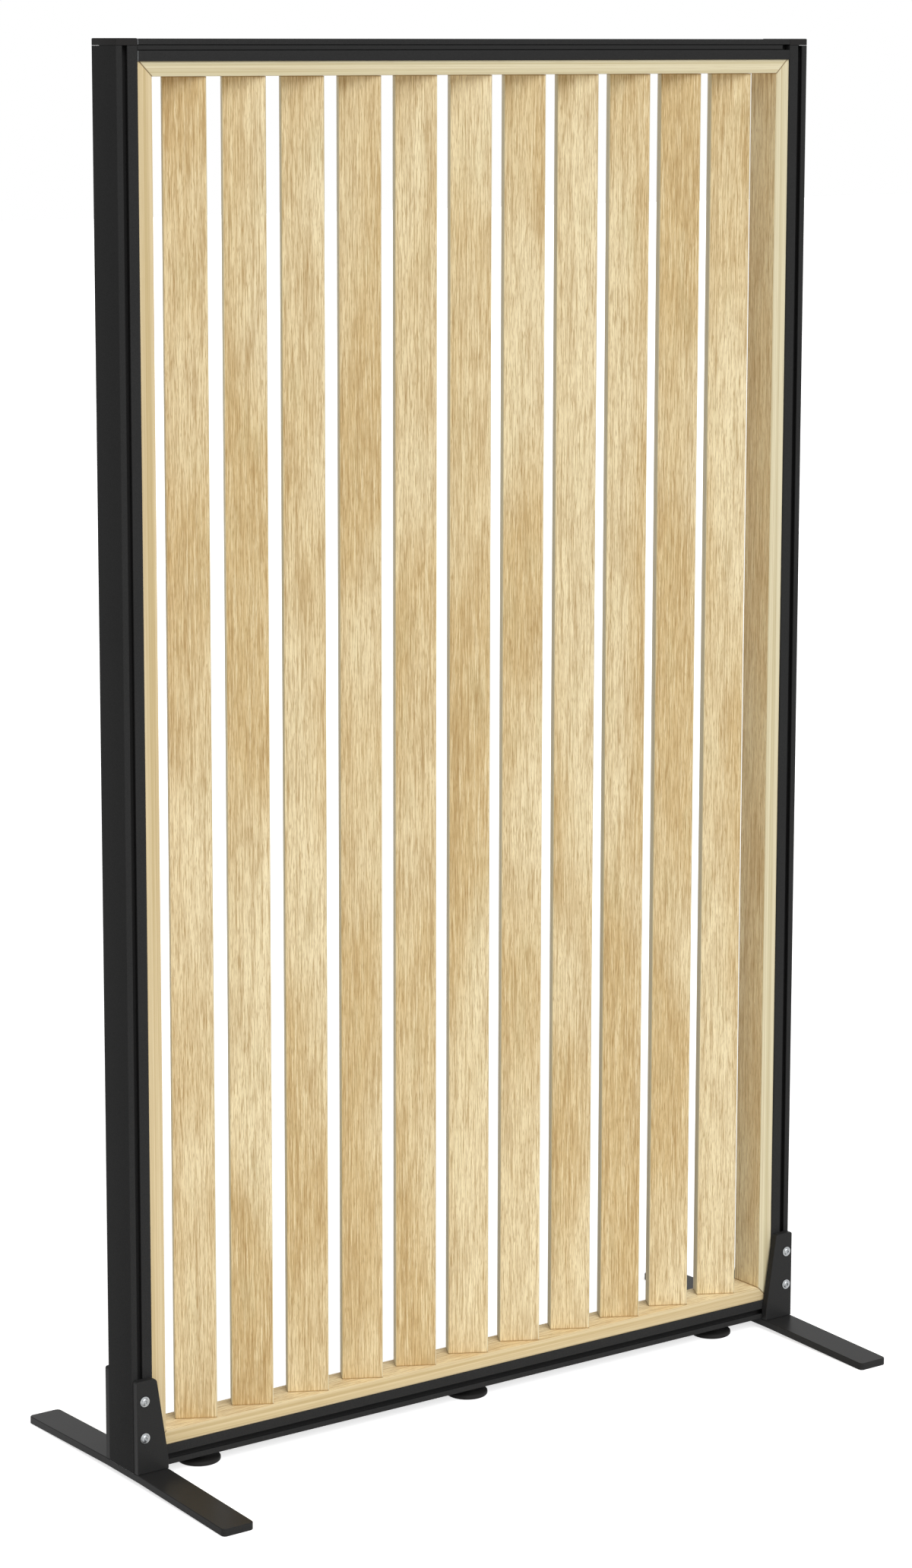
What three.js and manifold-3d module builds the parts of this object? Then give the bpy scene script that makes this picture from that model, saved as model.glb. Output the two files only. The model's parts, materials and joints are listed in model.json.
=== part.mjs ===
// A free-standing slatted timber screen in a slotted aluminium frame.
// Millimetres, +Z up. The origin is on the floor under the middle of the frame, and the front looks
// along -Y. The levelling feet touch the floor, a little way short of fully wound in.
import * as THREE from "three";
import { ConvexGeometry } from "three/addons/geometries/ConvexGeometry.js";
import { mergeVertices } from "three/addons/utils/BufferGeometryUtils.js";
import Module from "manifold-3d";

const wasm = await Module();
wasm.setup();

// ---- driving dimensions -------------------------------------------------------------------------

const OVERALL_HEIGHT = 1800; // floor to the top of the post caps
const FRAME_WIDTH = 1077; // over the outer faces of the posts
const FRAME_DEPTH = 58; // front to back of posts and rails
const SEAT_GAP = 0.3; // left between pieces that touch on the real screen
const OVERCUT = 1; // how far a cutting tool runs past the face that it opens

const POST_WIDTH = 30;
const CAP_HEIGHT = 8.5;
const CAP_EDGE = 1.2; // chamfer round the top of a cap
const CAP_SPIGOT = 12; // how far a cap plugs into its post

const RAIL_HEIGHT = 27; // from its outer edge to the tips of the lips that hold the lining
const RAIL_BELOW_CAP = 0.5;
const RAIL_LIP = 2; // thickness of those lips
const LIP_OVERLAP = 2.6; // how far they reach over the lining
const LINING_PLAY = 0.2; // between the lining and each lip

const EXTRUSION_WALL = 2.2;
const EXTRUSION_CORNER = 1.2; // radius of the outer corners
const SLOT_LIP = 2.4; // the long slots in the front and back faces
const SLOT_CAVITY = 13.2; // width behind the lips
const SLOT_DEPTH = 11;
const POST_SLOT_OFFSET = 12; // middle of the slot from the post's outer face
const RAIL_SLOT_OFFSET = 10.7; // middle of the slot from the rail's outer edge

const JOINT_SLOT_MOUTH = 10; // slot in the post's inner face, where the rails are joined
const JOINT_SLOT_CAVITY = 16;
const JOINT_SLOT_DEPTH = 8;
const CONNECTOR_REACH = 24; // how far a corner connector goes into the rail
const CONNECTOR_PLAY = 0.7; // between its head and the floor of that slot

const STRIP_FACE = 4.6; // width of the flat front of the strips that fill the top rail's slots
const STRIP_RECESS = 0.8; // how far that front lies below the face of the rail
const STRIP_SHOULDER = 1; // depth of the slope on each side of it
const STRIP_HOOK = 1.2; // how far its hooks reach behind each lip
const STRIP_HOOK_DEPTH = 1.8;
const STRIP_SHORT = 12; // bare slot left at one end

const LINING_THICKNESS = 20.6;
const LINING_ARRIS = 1.5; // radius of the inner long edges

const SLAT_WIDTH = 54;
const SLAT_THICKNESS = 26.5;
const SLAT_PITCH = 85.5; // as many slats as fit inside the lining at this pitch
const SLAT_TURN = 28.4; // degrees, about the vertical, clockwise from above
const SLAT_ARRIS = 1.5;
const TENON_RADIUS = 6; // round stub on each end of a slat
const TENON_LENGTH = 12;

const PLATE_THICKNESS = 10; // foot bars and their wings
const FOOT_LENGTH = 480;
const FOOT_OVERHANG = 16.8; // how far the foot reaches in past the post
const FOOT_INSET = 1.4; // foot's outer edge inside the post's outer face
const FOOT_RISE = 5.1; // underside of the middle of the bar above the floor
const FOOT_FLAT_MARGIN = 1.7; // level stretch of the bar past the outer face of each wing
const FOOT_CORNER = 6;

const WING_TOP = 137.2; // above the floor
const WING_TOP_OVERHANG = 0.2; // the same at the top of a wing
const WING_STRAIGHT = 13.4; // height of the upright inner edge before it tapers
const WING_INNER_CORNER = 5;
const WING_OUTER_CORNER = 3;
const UPPER_SCREW_DROP = 26.7; // below the top of the wing
const SCREW_SPACING = 48;

const SCREW_RADIUS = 3;
const SCREW_PLAY = 0.6; // between a screw and the lips of the slot that it passes
const SCREW_TIP_CLEARANCE = 1.6; // between its tip and the floor of that slot
const SCREW_HEAD_RADIUS = 6.8;
const SCREW_FLANGE = 1.1; // thickness of the head's rim
const SCREW_DOME = 2.2; // height of the dome above the rim
const SCREW_SHOULDER_RADIUS = 4.9; // where the dome turns over
const SCREW_SHOULDER_DROP = 0.66; // from the top of the dome to there
const SCREW_TOP_RADIUS = 3.4; // flat round the socket
const SOCKET_WIDTH = 4; // across the flats
const SOCKET_DEPTH = 2;
const NUT_LENGTH = 14;
const NUT_THICKNESS = 5;
const NUT_CHAMFER = 2;

const LEVELLER_INSET = 68.8; // axis of an outer levelling foot from the inner edge of the foot bar
const PAD_RADIUS = 28;
const PAD_RIM = 6.2; // height of the pad's rim
const PAD_EDGE = 2.2; // size of its rounded edge
const PAD_EDGE_CORNER = 0.66; // how far that rounding stays inside its square corner
const PAD_CROWN = 1.8; // rise of the top from the rim to the hub
const PAD_FLOOR = 2.5; // left under the stud's foot
const STUD_RADIUS = 4;
const STUD_NECK = 3; // radius of its foot in the pad
const STUD_HEADROOM = 3.3; // above its tip, to the roof of the rail's hollow
const COLLAR_WIDTH = 13; // hexagon across the flats
const COLLAR_HEIGHT = 3;
const INSERT_WALL = 1.2;
const INSERT_RIM = 1.5; // how far its flange reaches past its body
const INSERT_FLANGE = 1;
const INSERT_LENGTH = 14;

// ---- places that follow from them ---------------------------------------------------------------

const HALF_WIDTH = FRAME_WIDTH / 2;
const HALF_DEPTH = FRAME_DEPTH / 2;
const HALF_CHAMBER = HALF_DEPTH - SLOT_DEPTH - EXTRUSION_WALL;
const FOOT_WIDTH = POST_WIDTH - FOOT_INSET + FOOT_OVERHANG;
const WING_TOP_WIDTH = POST_WIDTH - FOOT_INSET + WING_TOP_OVERHANG;
const SLOT_MOUTH = 2 * (SCREW_RADIUS + SCREW_PLAY);
const CONNECTOR_HEAD = JOINT_SLOT_DEPTH - SLOT_LIP - SEAT_GAP - CONNECTOR_PLAY;
const FOOT_TOP = FOOT_RISE + PLATE_THICKNESS;
const FRAME_BOTTOM = FOOT_TOP + SEAT_GAP;
const CAP_BOTTOM = OVERALL_HEIGHT - CAP_HEIGHT;
const RAIL_TOP = OVERALL_HEIGHT - RAIL_BELOW_CAP;
const RAIL_HALF_LENGTH = HALF_WIDTH - POST_WIDTH - SEAT_GAP;
const RAIL_WEB = RAIL_HEIGHT - LIP_OVERLAP - SEAT_GAP; // outer edge to the face under the lining
const CHAMBER_END = RAIL_WEB - EXTRUSION_WALL;
const LINING_HALF_WIDTH = HALF_WIDTH - POST_WIDTH - SEAT_GAP;
const LINING_BOTTOM = FRAME_BOTTOM + RAIL_WEB + SEAT_GAP;
const LINING_TOP = RAIL_TOP - RAIL_WEB - SEAT_GAP;
const LINING_DEPTH = FRAME_DEPTH - 2 * (RAIL_LIP + LINING_PLAY);
const SLAT_BOTTOM = LINING_BOTTOM + LINING_THICKNESS + SEAT_GAP;
const SLAT_LENGTH = LINING_TOP - LINING_THICKNESS - SEAT_GAP - SLAT_BOTTOM;
const SLAT_COUNT = Math.floor(2 * (LINING_HALF_WIDTH - LINING_THICKNESS) / SLAT_PITCH);
const WING_FACE = HALF_DEPTH + SEAT_GAP + PLATE_THICKNESS; // outer face of a wing, from the mid-plane
const SCREW_SEAT = WING_FACE + SEAT_GAP; // underside of a screw's head, from the mid-plane
const SCREW_LENGTH = SCREW_SEAT - (HALF_DEPTH - SLOT_DEPTH) - SCREW_TIP_CLEARANCE;
const UPPER_SCREW = WING_TOP - UPPER_SCREW_DROP;
const SCREW_HEIGHTS = { lower: UPPER_SCREW - SCREW_SPACING, upper: UPPER_SCREW }; // above the floor
const COLLAR_BOTTOM = PAD_RIM + PAD_CROWN + SEAT_GAP;
const STUD_TOP = FRAME_BOTTOM + CHAMBER_END - STUD_HEADROOM;
const INSERT_RADIUS = STUD_RADIUS + SEAT_GAP + INSERT_WALL;
const INSERT_BOTTOM = FRAME_BOTTOM - SEAT_GAP - INSERT_FLANGE;
const LEVELLER_OFFSET = HALF_WIDTH - FOOT_INSET - FOOT_WIDTH - LEVELLER_INSET;
const LEVELLERS = { left: -LEVELLER_OFFSET, centre: 0, right: LEVELLER_OFFSET };
const SIDES = { left: -1, right: 1 };
const FACES = { front: -1, rear: 1 };

// ---- materials ----------------------------------------------------------------------------------

const finish = (color, roughness, metalness) =>
  new THREE.MeshStandardMaterial({ color, roughness, metalness });
const MATERIALS = {
  frame: finish(0x2e2e2e, 0.5, 0.2),
  plastic: finish(0x262626, 0.6, 0),
  slat: finish(0xc9ae7c, 0.6, 0),
  lining: finish(0xdccb9b, 0.6, 0),
  foot: finish(0x333333, 0.45, 0.2),
  steel: finish(0xb9bbbd, 0.35, 0.9),
};

// ---- geometry helpers ---------------------------------------------------------------------------

const X_AXIS = new THREE.Vector3(1, 0, 0);
const Y_AXIS = new THREE.Vector3(0, 1, 0);
const Z_AXIS = new THREE.Vector3(0, 0, 1);
const ALONG_X = new THREE.Matrix4().makeBasis(Y_AXIS, Z_AXIS, X_AXIS); // outline in Y and Z
const ALONG_Y = new THREE.Matrix4().makeBasis(X_AXIS, Z_AXIS, Y_AXIS.clone().negate()); // in X and Z
const CURVE_STEPS = 3;

// A closed outline from corners [x, y] or [x, y, radius].
function outline(corners) {
  const shape = new THREE.Shape();
  corners.forEach((corner, i) => {
    const [x, y, radius = 0] = corner;
    const here = new THREE.Vector2(x, y);
    const before = new THREE.Vector2(...corners.at(i - 1).slice(0, 2));
    const after = new THREE.Vector2(...corners[(i + 1) % corners.length].slice(0, 2));
    const start = before.sub(here).setLength(radius).add(here);
    const end = after.sub(here).setLength(radius).add(here);
    if (i === 0) shape.moveTo(start.x, start.y);
    else shape.lineTo(start.x, start.y);
    if (radius > 0) shape.quadraticCurveTo(x, y, end.x, end.y);
  });
  shape.closePath();
  return shape;
}

function rectangle(x0, y0, x1, y1, radius = 0) {
  return outline([[x0, y0, radius], [x1, y0, radius], [x1, y1, radius], [x0, y1, radius]]);
}

function extrude(shape, depth) {
  return new THREE.ExtrudeGeometry(shape, { depth, bevelEnabled: false, curveSegments: CURVE_STEPS });
}

// An upright block between two corners.
function block([x0, y0, z0], [x1, y1, z1]) {
  return extrude(rectangle(x0, y0, x1, y1), z1 - z0).translate(0, 0, z0);
}

function upright(radius, bottom, top, sides = 24) {
  const cylinder = new THREE.CylinderGeometry(radius, radius, top - bottom, sides);
  return cylinder.rotateX(Math.PI / 2).translate(0, 0, (bottom + top) / 2);
}

// A profile of [radius, height] turned about Z.
function turned(profile, sides) {
  const points = profile.map(([radius, height]) => new THREE.Vector2(radius, height));
  return new THREE.LatheGeometry(points, sides).rotateX(Math.PI / 2);
}

function solid(geometry) {
  const bare = geometry.clone();
  bare.deleteAttribute("normal");
  bare.deleteAttribute("uv");
  const merged = mergeVertices(bare, 1e-4);
  const mesh = new wasm.Mesh({
    numProp: 3,
    vertProperties: new Float32Array(merged.attributes.position.array),
    triVerts: new Uint32Array(merged.index.array),
  });
  return new wasm.Manifold(mesh);
}

function geometryOf(manifold) {
  const mesh = manifold.getMesh();
  const geometry = new THREE.BufferGeometry();
  geometry.setAttribute("position", new THREE.BufferAttribute(new Float32Array(mesh.vertProperties), 3));
  geometry.setIndex(new THREE.BufferAttribute(new Uint32Array(mesh.triVerts), 1));
  geometry.computeVertexNormals();
  return geometry;
}

function joined(first, ...others) {
  return geometryOf(others.reduce((sum, other) => sum.add(solid(other)), solid(first)));
}

function cut(base, ...tools) {
  return geometryOf(tools.reduce((rest, tool) => rest.subtract(solid(tool)), solid(base)));
}

function hexagonAcross(flats) {
  return flats / Math.sqrt(3);
}

const screen = new THREE.Group();
screen.name = "slatted_screen";

function add(name, geometry, material, position = [0, 0, 0]) {
  const mesh = new THREE.Mesh(geometry, material);
  mesh.name = name;
  mesh.position.set(...position);
  screen.add(mesh);
  return mesh;
}

// ---- slotted extrusions -------------------------------------------------------------------------

// The eight corners of a T-slot in a face. The outline runs along the face in the direction (dx, dy),
// with its material on the left.
function tSlot([x, y], [dx, dy], mouth, cavity, depth) {
  const place = (along, inward) => [x + dx * along - dy * inward, y + dy * along + dx * inward];
  return [
    place(-mouth / 2, 0),
    place(-mouth / 2, SLOT_LIP),
    place(-cavity / 2, SLOT_LIP),
    place(-cavity / 2, depth),
    place(cavity / 2, depth),
    place(cavity / 2, SLOT_LIP),
    place(mouth / 2, SLOT_LIP),
    place(mouth / 2, 0),
  ];
}

const longSlot = (middle, direction) =>
  tSlot(middle, direction, SLOT_MOUTH, SLOT_CAVITY, SLOT_DEPTH);

const mapped = (corners, place) => corners.map(([u, v, radius]) => [...place(u, v), radius]);

// Section of a post: u runs inward from its outer face, v from front to back.
function postSection() {
  const r = EXTRUSION_CORNER;
  return [
    [0, -HALF_DEPTH, r],
    ...longSlot([POST_SLOT_OFFSET, -HALF_DEPTH], [1, 0]),
    [POST_WIDTH, -HALF_DEPTH, r],
    ...tSlot([POST_WIDTH, 0], [0, 1], JOINT_SLOT_MOUTH, JOINT_SLOT_CAVITY, JOINT_SLOT_DEPTH),
    [POST_WIDTH, HALF_DEPTH, r],
    ...longSlot([POST_SLOT_OFFSET, HALF_DEPTH], [-1, 0]),
    [0, HALF_DEPTH, r],
  ];
}

// The hollow runs the other way round from its section, as a hole in an outline has to.
function postChamber(inset) {
  const low = EXTRUSION_WALL + inset;
  const high = POST_WIDTH - JOINT_SLOT_DEPTH - EXTRUSION_WALL - inset;
  const half = HALF_CHAMBER - inset;
  return [[low, -half], [low, half], [high, half], [high, -half]];
}

function addPost(name, side) {
  const place = (u, v) => [side * (HALF_WIDTH - u), v];
  const section = outline(mapped(postSection(), place));
  section.holes.push(outline(mapped(postChamber(0), place)));
  const top = CAP_BOTTOM - SEAT_GAP;
  add(name, extrude(section, top - FRAME_BOTTOM), MATERIALS.frame, [0, 0, FRAME_BOTTOM]);
}

// A cap is as wide as its post, chamfered round its top, with a plug that goes down into the chamber.
function addPostCap(name, side) {
  const [x0, x1] = [side * HALF_WIDTH, side * (HALF_WIDTH - POST_WIDTH)].sort((a, b) => a - b);
  const ring = (inset, z) => {
    const half = HALF_DEPTH - inset;
    const shape = rectangle(x0 + inset, -half, x1 - inset, half, EXTRUSION_CORNER);
    return shape.extractPoints(CURVE_STEPS).shape.map(({ x, y }) => new THREE.Vector3(x, y, z));
  };
  const crown = new ConvexGeometry([
    ...ring(0, 0),
    ...ring(0, CAP_HEIGHT - CAP_EDGE),
    ...ring(CAP_EDGE, CAP_HEIGHT),
  ]);
  const place = (u, v) => [side * (HALF_WIDTH - u), v];
  const spigot = extrude(outline(mapped(postChamber(SEAT_GAP), place)), CAP_SPIGOT + CAP_EDGE);
  add(name, joined(crown, spigot.translate(0, 0, -CAP_SPIGOT)), MATERIALS.plastic, [0, 0, CAP_BOTTOM]);
}

// Section of a rail: u from front to back, v from its outer edge towards the lining.
function railSection() {
  const r = EXTRUSION_CORNER;
  const innerLip = HALF_DEPTH - RAIL_LIP;
  return [
    [-HALF_DEPTH, 0, r],
    [HALF_DEPTH, 0, r],
    ...longSlot([HALF_DEPTH, RAIL_SLOT_OFFSET], [0, 1]),
    [HALF_DEPTH, RAIL_HEIGHT],
    [innerLip, RAIL_HEIGHT],
    [innerLip, RAIL_WEB],
    [-innerLip, RAIL_WEB],
    [-innerLip, RAIL_HEIGHT],
    [-HALF_DEPTH, RAIL_HEIGHT],
    ...longSlot([-HALF_DEPTH, RAIL_SLOT_OFFSET], [0, -1]),
  ];
}

function railBlank(place) {
  const section = outline(mapped(railSection(), place));
  const chamber = [
    [-HALF_CHAMBER, EXTRUSION_WALL],
    [-HALF_CHAMBER, CHAMBER_END],
    [HALF_CHAMBER, CHAMBER_END],
    [HALF_CHAMBER, EXTRUSION_WALL],
  ];
  section.holes.push(outline(mapped(chamber, place)));
  return extrude(section, 2 * RAIL_HALF_LENGTH).applyMatrix4(ALONG_X).translate(-RAIL_HALF_LENGTH, 0, 0);
}

function addRails() {
  add("top_rail", railBlank((u, v) => [u, RAIL_TOP - v]), MATERIALS.frame);
  const low = FRAME_BOTTOM - OVERCUT;
  const high = FRAME_BOTTOM + EXTRUSION_WALL + OVERCUT;
  const holes = Object.values(LEVELLERS).map((x) =>
    upright(INSERT_RADIUS + SEAT_GAP, low, high).translate(x, 0, 0));
  const blank = railBlank((u, v) => [u, FRAME_BOTTOM + v]);
  add("bottom_rail", cut(blank, ...holes), MATERIALS.frame);
}

// A strip snaps into a slot of the top rail, with its hooks behind the slot's lips. Its section has u
// across the slot and v inward from the face of the rail.
function addSlotStrip(name, face) {
  const neck = SLOT_MOUTH / 2 - SEAT_GAP;
  const shoulder = STRIP_RECESS + STRIP_SHOULDER;
  const hook = SLOT_MOUTH / 2 + STRIP_HOOK;
  const hookStart = SLOT_LIP + SEAT_GAP;
  const hookEnd = hookStart + STRIP_HOOK_DEPTH;
  const half = [
    [STRIP_FACE / 2, STRIP_RECESS],
    [neck, shoulder],
    [neck, hookStart],
    [hook, hookStart],
    [neck, hookEnd],
  ];
  const section = [...half, ...half.map(([u, v]) => [-u, v]).reverse()];
  const middle = RAIL_TOP - RAIL_SLOT_OFFSET;
  const shape = outline(mapped(section, (u, v) => [face * (HALF_DEPTH - v), middle + u]));
  const length = 2 * RAIL_HALF_LENGTH - STRIP_SHORT;
  const start = face < 0 ? -RAIL_HALF_LENGTH : RAIL_HALF_LENGTH - length;
  add(name, extrude(shape, length).applyMatrix4(ALONG_X).translate(start, 0, 0), MATERIALS.plastic);
}

// A connector fills the end of a rail and hooks into the slot in the post's inner face.
function addConnector(name, side, railEdge, inward) {
  const half = HALF_CHAMBER - SEAT_GAP;
  const near = railEdge + inward * (EXTRUSION_WALL + SEAT_GAP);
  const far = railEdge + inward * (CHAMBER_END - SEAT_GAP);
  const low = Math.min(near, far);
  const high = Math.max(near, far);
  const postFace = HALF_WIDTH - POST_WIDTH;
  const headFace = postFace + SLOT_LIP + SEAT_GAP;
  const hookTop = Math.min(high, CAP_BOTTOM - 2 * SEAT_GAP);
  const span = (from, to, halfDepth, top) => {
    const xs = [side * from, side * to].sort((a, b) => a - b);
    return block([xs[0], -halfDepth, low], [xs[1], halfDepth, top]);
  };
  const body = span(postFace - SEAT_GAP - CONNECTOR_REACH, postFace - SEAT_GAP, half, high);
  const neckHalf = JOINT_SLOT_MOUTH / 2 - SEAT_GAP;
  const neck = span(postFace - 2 * SEAT_GAP, headFace + SEAT_GAP, neckHalf, hookTop);
  const headHalf = JOINT_SLOT_CAVITY / 2 - SEAT_GAP;
  const head = span(headFace, headFace + CONNECTOR_HEAD, headHalf, hookTop);
  add(name, joined(body, neck, head), MATERIALS.steel);
}

// ---- timber -------------------------------------------------------------------------------------

function boardSection(inner, outer) {
  const half = LINING_DEPTH / 2;
  const r = LINING_ARRIS;
  return outline([[inner, -half, r], [outer, -half], [outer, half], [inner, half, r]]);
}

const slatPlaces = () =>
  Array.from({ length: SLAT_COUNT }, (_, i) => (i - (SLAT_COUNT - 1) / 2) * SLAT_PITCH);

// Cuts both ends of a board at 45 degrees through the lining's outer corners. The board lies on the side
// of the lining that (outX, outZ) points to.
function mitred(board, [outX, outZ]) {
  const middle = (LINING_BOTTOM + LINING_TOP) / 2;
  const halfHeight = (LINING_TOP - LINING_BOTTOM) / 2;
  let rest = board;
  for (const end of [-1, 1]) {
    const [endX, endZ] = [end * outZ, end * outX];
    const cornerX = (outX + endX) * LINING_HALF_WIDTH;
    const cornerZ = middle + (outZ + endZ) * halfHeight;
    const normal = [(outX - endX) * Math.SQRT1_2, 0, (outZ - endZ) * Math.SQRT1_2];
    rest = rest.trimByPlane(normal, normal[0] * cornerX + normal[2] * cornerZ + SEAT_GAP / 2);
  }
  return rest;
}

function addLining() {
  const height = LINING_TOP - LINING_BOTTOM;
  for (const [name, side] of Object.entries(SIDES)) {
    const inner = side * (LINING_HALF_WIDTH - LINING_THICKNESS);
    const board = extrude(boardSection(inner, side * LINING_HALF_WIDTH), height);
    const mitre = mitred(solid(board.translate(0, 0, LINING_BOTTOM)), [side, 0]);
    add(`${name}_lining_board`, geometryOf(mitre), MATERIALS.lining);
  }
  const ends = { bottom: [LINING_BOTTOM, 1], top: [LINING_TOP, -1] };
  for (const [name, [outer, inward]] of Object.entries(ends)) {
    const inner = outer + inward * LINING_THICKNESS;
    const swapped = boardSection(inner, outer);
    const board = extrude(swapped, 2 * LINING_HALF_WIDTH).translate(0, 0, -LINING_HALF_WIDTH);
    const along = new THREE.Matrix4().makeBasis(Z_AXIS, Y_AXIS, X_AXIS.clone().negate());
    const mitre = mitred(solid(board.applyMatrix4(along)), [0, -inward]);
    const socket = TENON_LENGTH + SEAT_GAP;
    const sockets = slatPlaces().map((x) => {
      const levels = [inner - inward * socket, inner + inward * OVERCUT].sort((a, b) => a - b);
      return upright(TENON_RADIUS + SEAT_GAP, levels[0], levels[1], 16).translate(x, 0, 0);
    });
    const bored = sockets.reduce((rest, tool) => rest.subtract(solid(tool)), mitre);
    add(`${name}_lining_board`, geometryOf(bored), MATERIALS.lining);
  }
}

function slatGeometry() {
  const w = SLAT_WIDTH / 2;
  const t = SLAT_THICKNESS / 2;
  const stave = extrude(rectangle(-w, -t, w, t, SLAT_ARRIS), SLAT_LENGTH);
  const tenon = upright(TENON_RADIUS, -TENON_LENGTH, SLAT_LENGTH + TENON_LENGTH, 16);
  return joined(stave, tenon);
}

function addSlats() {
  slatPlaces().forEach((x, i) => {
    const slat = add(`slat_${i + 1}`, slatGeometry(), MATERIALS.slat, [x, 0, SLAT_BOTTOM]);
    slat.rotation.z = -THREE.MathUtils.degToRad(SLAT_TURN);
  });
}

// ---- feet ---------------------------------------------------------------------------------------

// The bar is level under the post and drops to the floor at both tips.
function addFootBar(name, side) {
  const tip = FOOT_LENGTH / 2;
  const flat = WING_FACE + FOOT_FLAT_MARGIN;
  const profile = outline([
    [-tip, 0],
    [-flat, FOOT_RISE],
    [flat, FOOT_RISE],
    [tip, 0],
    [tip, PLATE_THICKNESS],
    [flat, FOOT_TOP],
    [-flat, FOOT_TOP],
    [-tip, PLATE_THICKNESS],
  ]);
  const outer = HALF_WIDTH - FOOT_INSET;
  const [x0, x1] = [side * (outer - FOOT_WIDTH), side * outer].sort((a, b) => a - b);
  const bar = extrude(profile, FOOT_WIDTH).applyMatrix4(ALONG_X).translate(x0, 0, 0);
  const plan = extrude(rectangle(x0, -tip, x1, tip, FOOT_CORNER), 2 * FOOT_TOP);
  const shaped = solid(bar).intersect(solid(plan.translate(0, 0, -FOOT_TOP / 2)));
  add(name, geometryOf(shaped), MATERIALS.foot);
}

const screwX = (side) => side * (HALF_WIDTH - POST_SLOT_OFFSET);

// A cylinder along Y between two distances from the mid-plane.
function crossHole(radius, x, z, from, to) {
  const length = to - from;
  return new THREE.CylinderGeometry(radius, radius, length, 24).translate(x, (from + to) / 2, z);
}

function addWing(name, side, face) {
  const outer = HALF_WIDTH - FOOT_INSET;
  const bottom = FOOT_TOP + SEAT_GAP;
  const corners = [
    [0, bottom],
    [FOOT_WIDTH, bottom],
    [FOOT_WIDTH, bottom + WING_STRAIGHT],
    [WING_TOP_WIDTH, WING_TOP, WING_INNER_CORNER],
    [0, WING_TOP, WING_OUTER_CORNER],
  ];
  const shape = outline(mapped(corners, (u, v) => [side * (outer - u), v]));
  const shift = face > 0 ? WING_FACE : -(WING_FACE - PLATE_THICKNESS);
  const plate = extrude(shape, PLATE_THICKNESS).applyMatrix4(ALONG_Y).translate(0, shift, 0);
  const ends = [face * (HALF_DEPTH - OVERCUT), face * (WING_FACE + OVERCUT)];
  const [from, to] = ends.sort((a, b) => a - b);
  const holes = Object.values(SCREW_HEIGHTS).map((z) =>
    crossHole(SCREW_RADIUS + SEAT_GAP, screwX(side), z, from, to));
  add(name, cut(plate, ...holes), MATERIALS.foot);
}

// Head along +Z with its seat at zero, shank along -Z.
function screwGeometry() {
  const top = SCREW_FLANGE + SCREW_DOME;
  const body = turned([
    [0, -SCREW_LENGTH],
    [SCREW_RADIUS, -SCREW_LENGTH],
    [SCREW_RADIUS, 0],
    [SCREW_HEAD_RADIUS, 0],
    [SCREW_HEAD_RADIUS, SCREW_FLANGE],
    [SCREW_SHOULDER_RADIUS, top - SCREW_SHOULDER_DROP],
    [SCREW_TOP_RADIUS, top],
    [0, top],
  ], 20);
  return cut(body, upright(hexagonAcross(SOCKET_WIDTH), top - SOCKET_DEPTH, top + OVERCUT, 6));
}

// A slot nut: flat against the slot's lips, chamfered behind.
function nutGeometry(x, z, face) {
  const half = SLOT_CAVITY / 2 - SEAT_GAP;
  const lip = HALF_DEPTH - SLOT_LIP - SEAT_GAP;
  const back = lip - NUT_THICKNESS;
  const corners = [
    [-half, lip],
    [half, lip],
    [half, back + NUT_CHAMFER],
    [half - NUT_CHAMFER, back],
    [NUT_CHAMFER - half, back],
    [-half, back + NUT_CHAMFER],
  ];
  const shape = outline(mapped(corners, (u, v) => [x + u, face * v]));
  const body = extrude(shape, NUT_LENGTH).translate(0, 0, z - NUT_LENGTH / 2);
  const [from, to] = [face * (back - OVERCUT), face * HALF_DEPTH].sort((a, b) => a - b);
  return cut(body, crossHole(SCREW_RADIUS + SEAT_GAP, x, z, from, to));
}

function addWingFasteners(sideName, side, faceName, face) {
  for (const [level, z] of Object.entries(SCREW_HEIGHTS)) {
    const x = screwX(side);
    const name = `${sideName}_${faceName}_${level}`;
    const screw = add(`${name}_screw`, screwGeometry(), MATERIALS.steel, [x, face * SCREW_SEAT, z]);
    screw.rotation.x = -face * Math.PI / 2;
    add(`${name}_slot_nut`, nutGeometry(x, z, face), MATERIALS.steel);
  }
}

// ---- levelling feet -----------------------------------------------------------------------------

function padGeometry() {
  const r = PAD_RADIUS;
  const bore = STUD_NECK + SEAT_GAP;
  const hub = COLLAR_WIDTH / 2;
  const top = PAD_RIM + PAD_CROWN;
  return turned([
    [0, 0],
    [r - PAD_EDGE, 0],
    [r - PAD_EDGE_CORNER, PAD_EDGE_CORNER],
    [r, PAD_EDGE],
    [r, PAD_RIM - PAD_EDGE],
    [r - PAD_EDGE_CORNER, PAD_RIM - PAD_EDGE_CORNER],
    [r - PAD_EDGE, PAD_RIM],
    [hub, top],
    [bore, top],
    [bore, PAD_FLOOR],
    [0, PAD_FLOOR],
  ], 36);
}

function studGeometry() {
  const middle = COLLAR_BOTTOM + COLLAR_HEIGHT / 2;
  const neck = upright(STUD_NECK, PAD_FLOOR + SEAT_GAP, middle);
  const collar = upright(hexagonAcross(COLLAR_WIDTH), COLLAR_BOTTOM, COLLAR_BOTTOM + COLLAR_HEIGHT, 6);
  const thread = upright(STUD_RADIUS, middle, STUD_TOP);
  return joined(collar, neck, thread);
}

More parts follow.
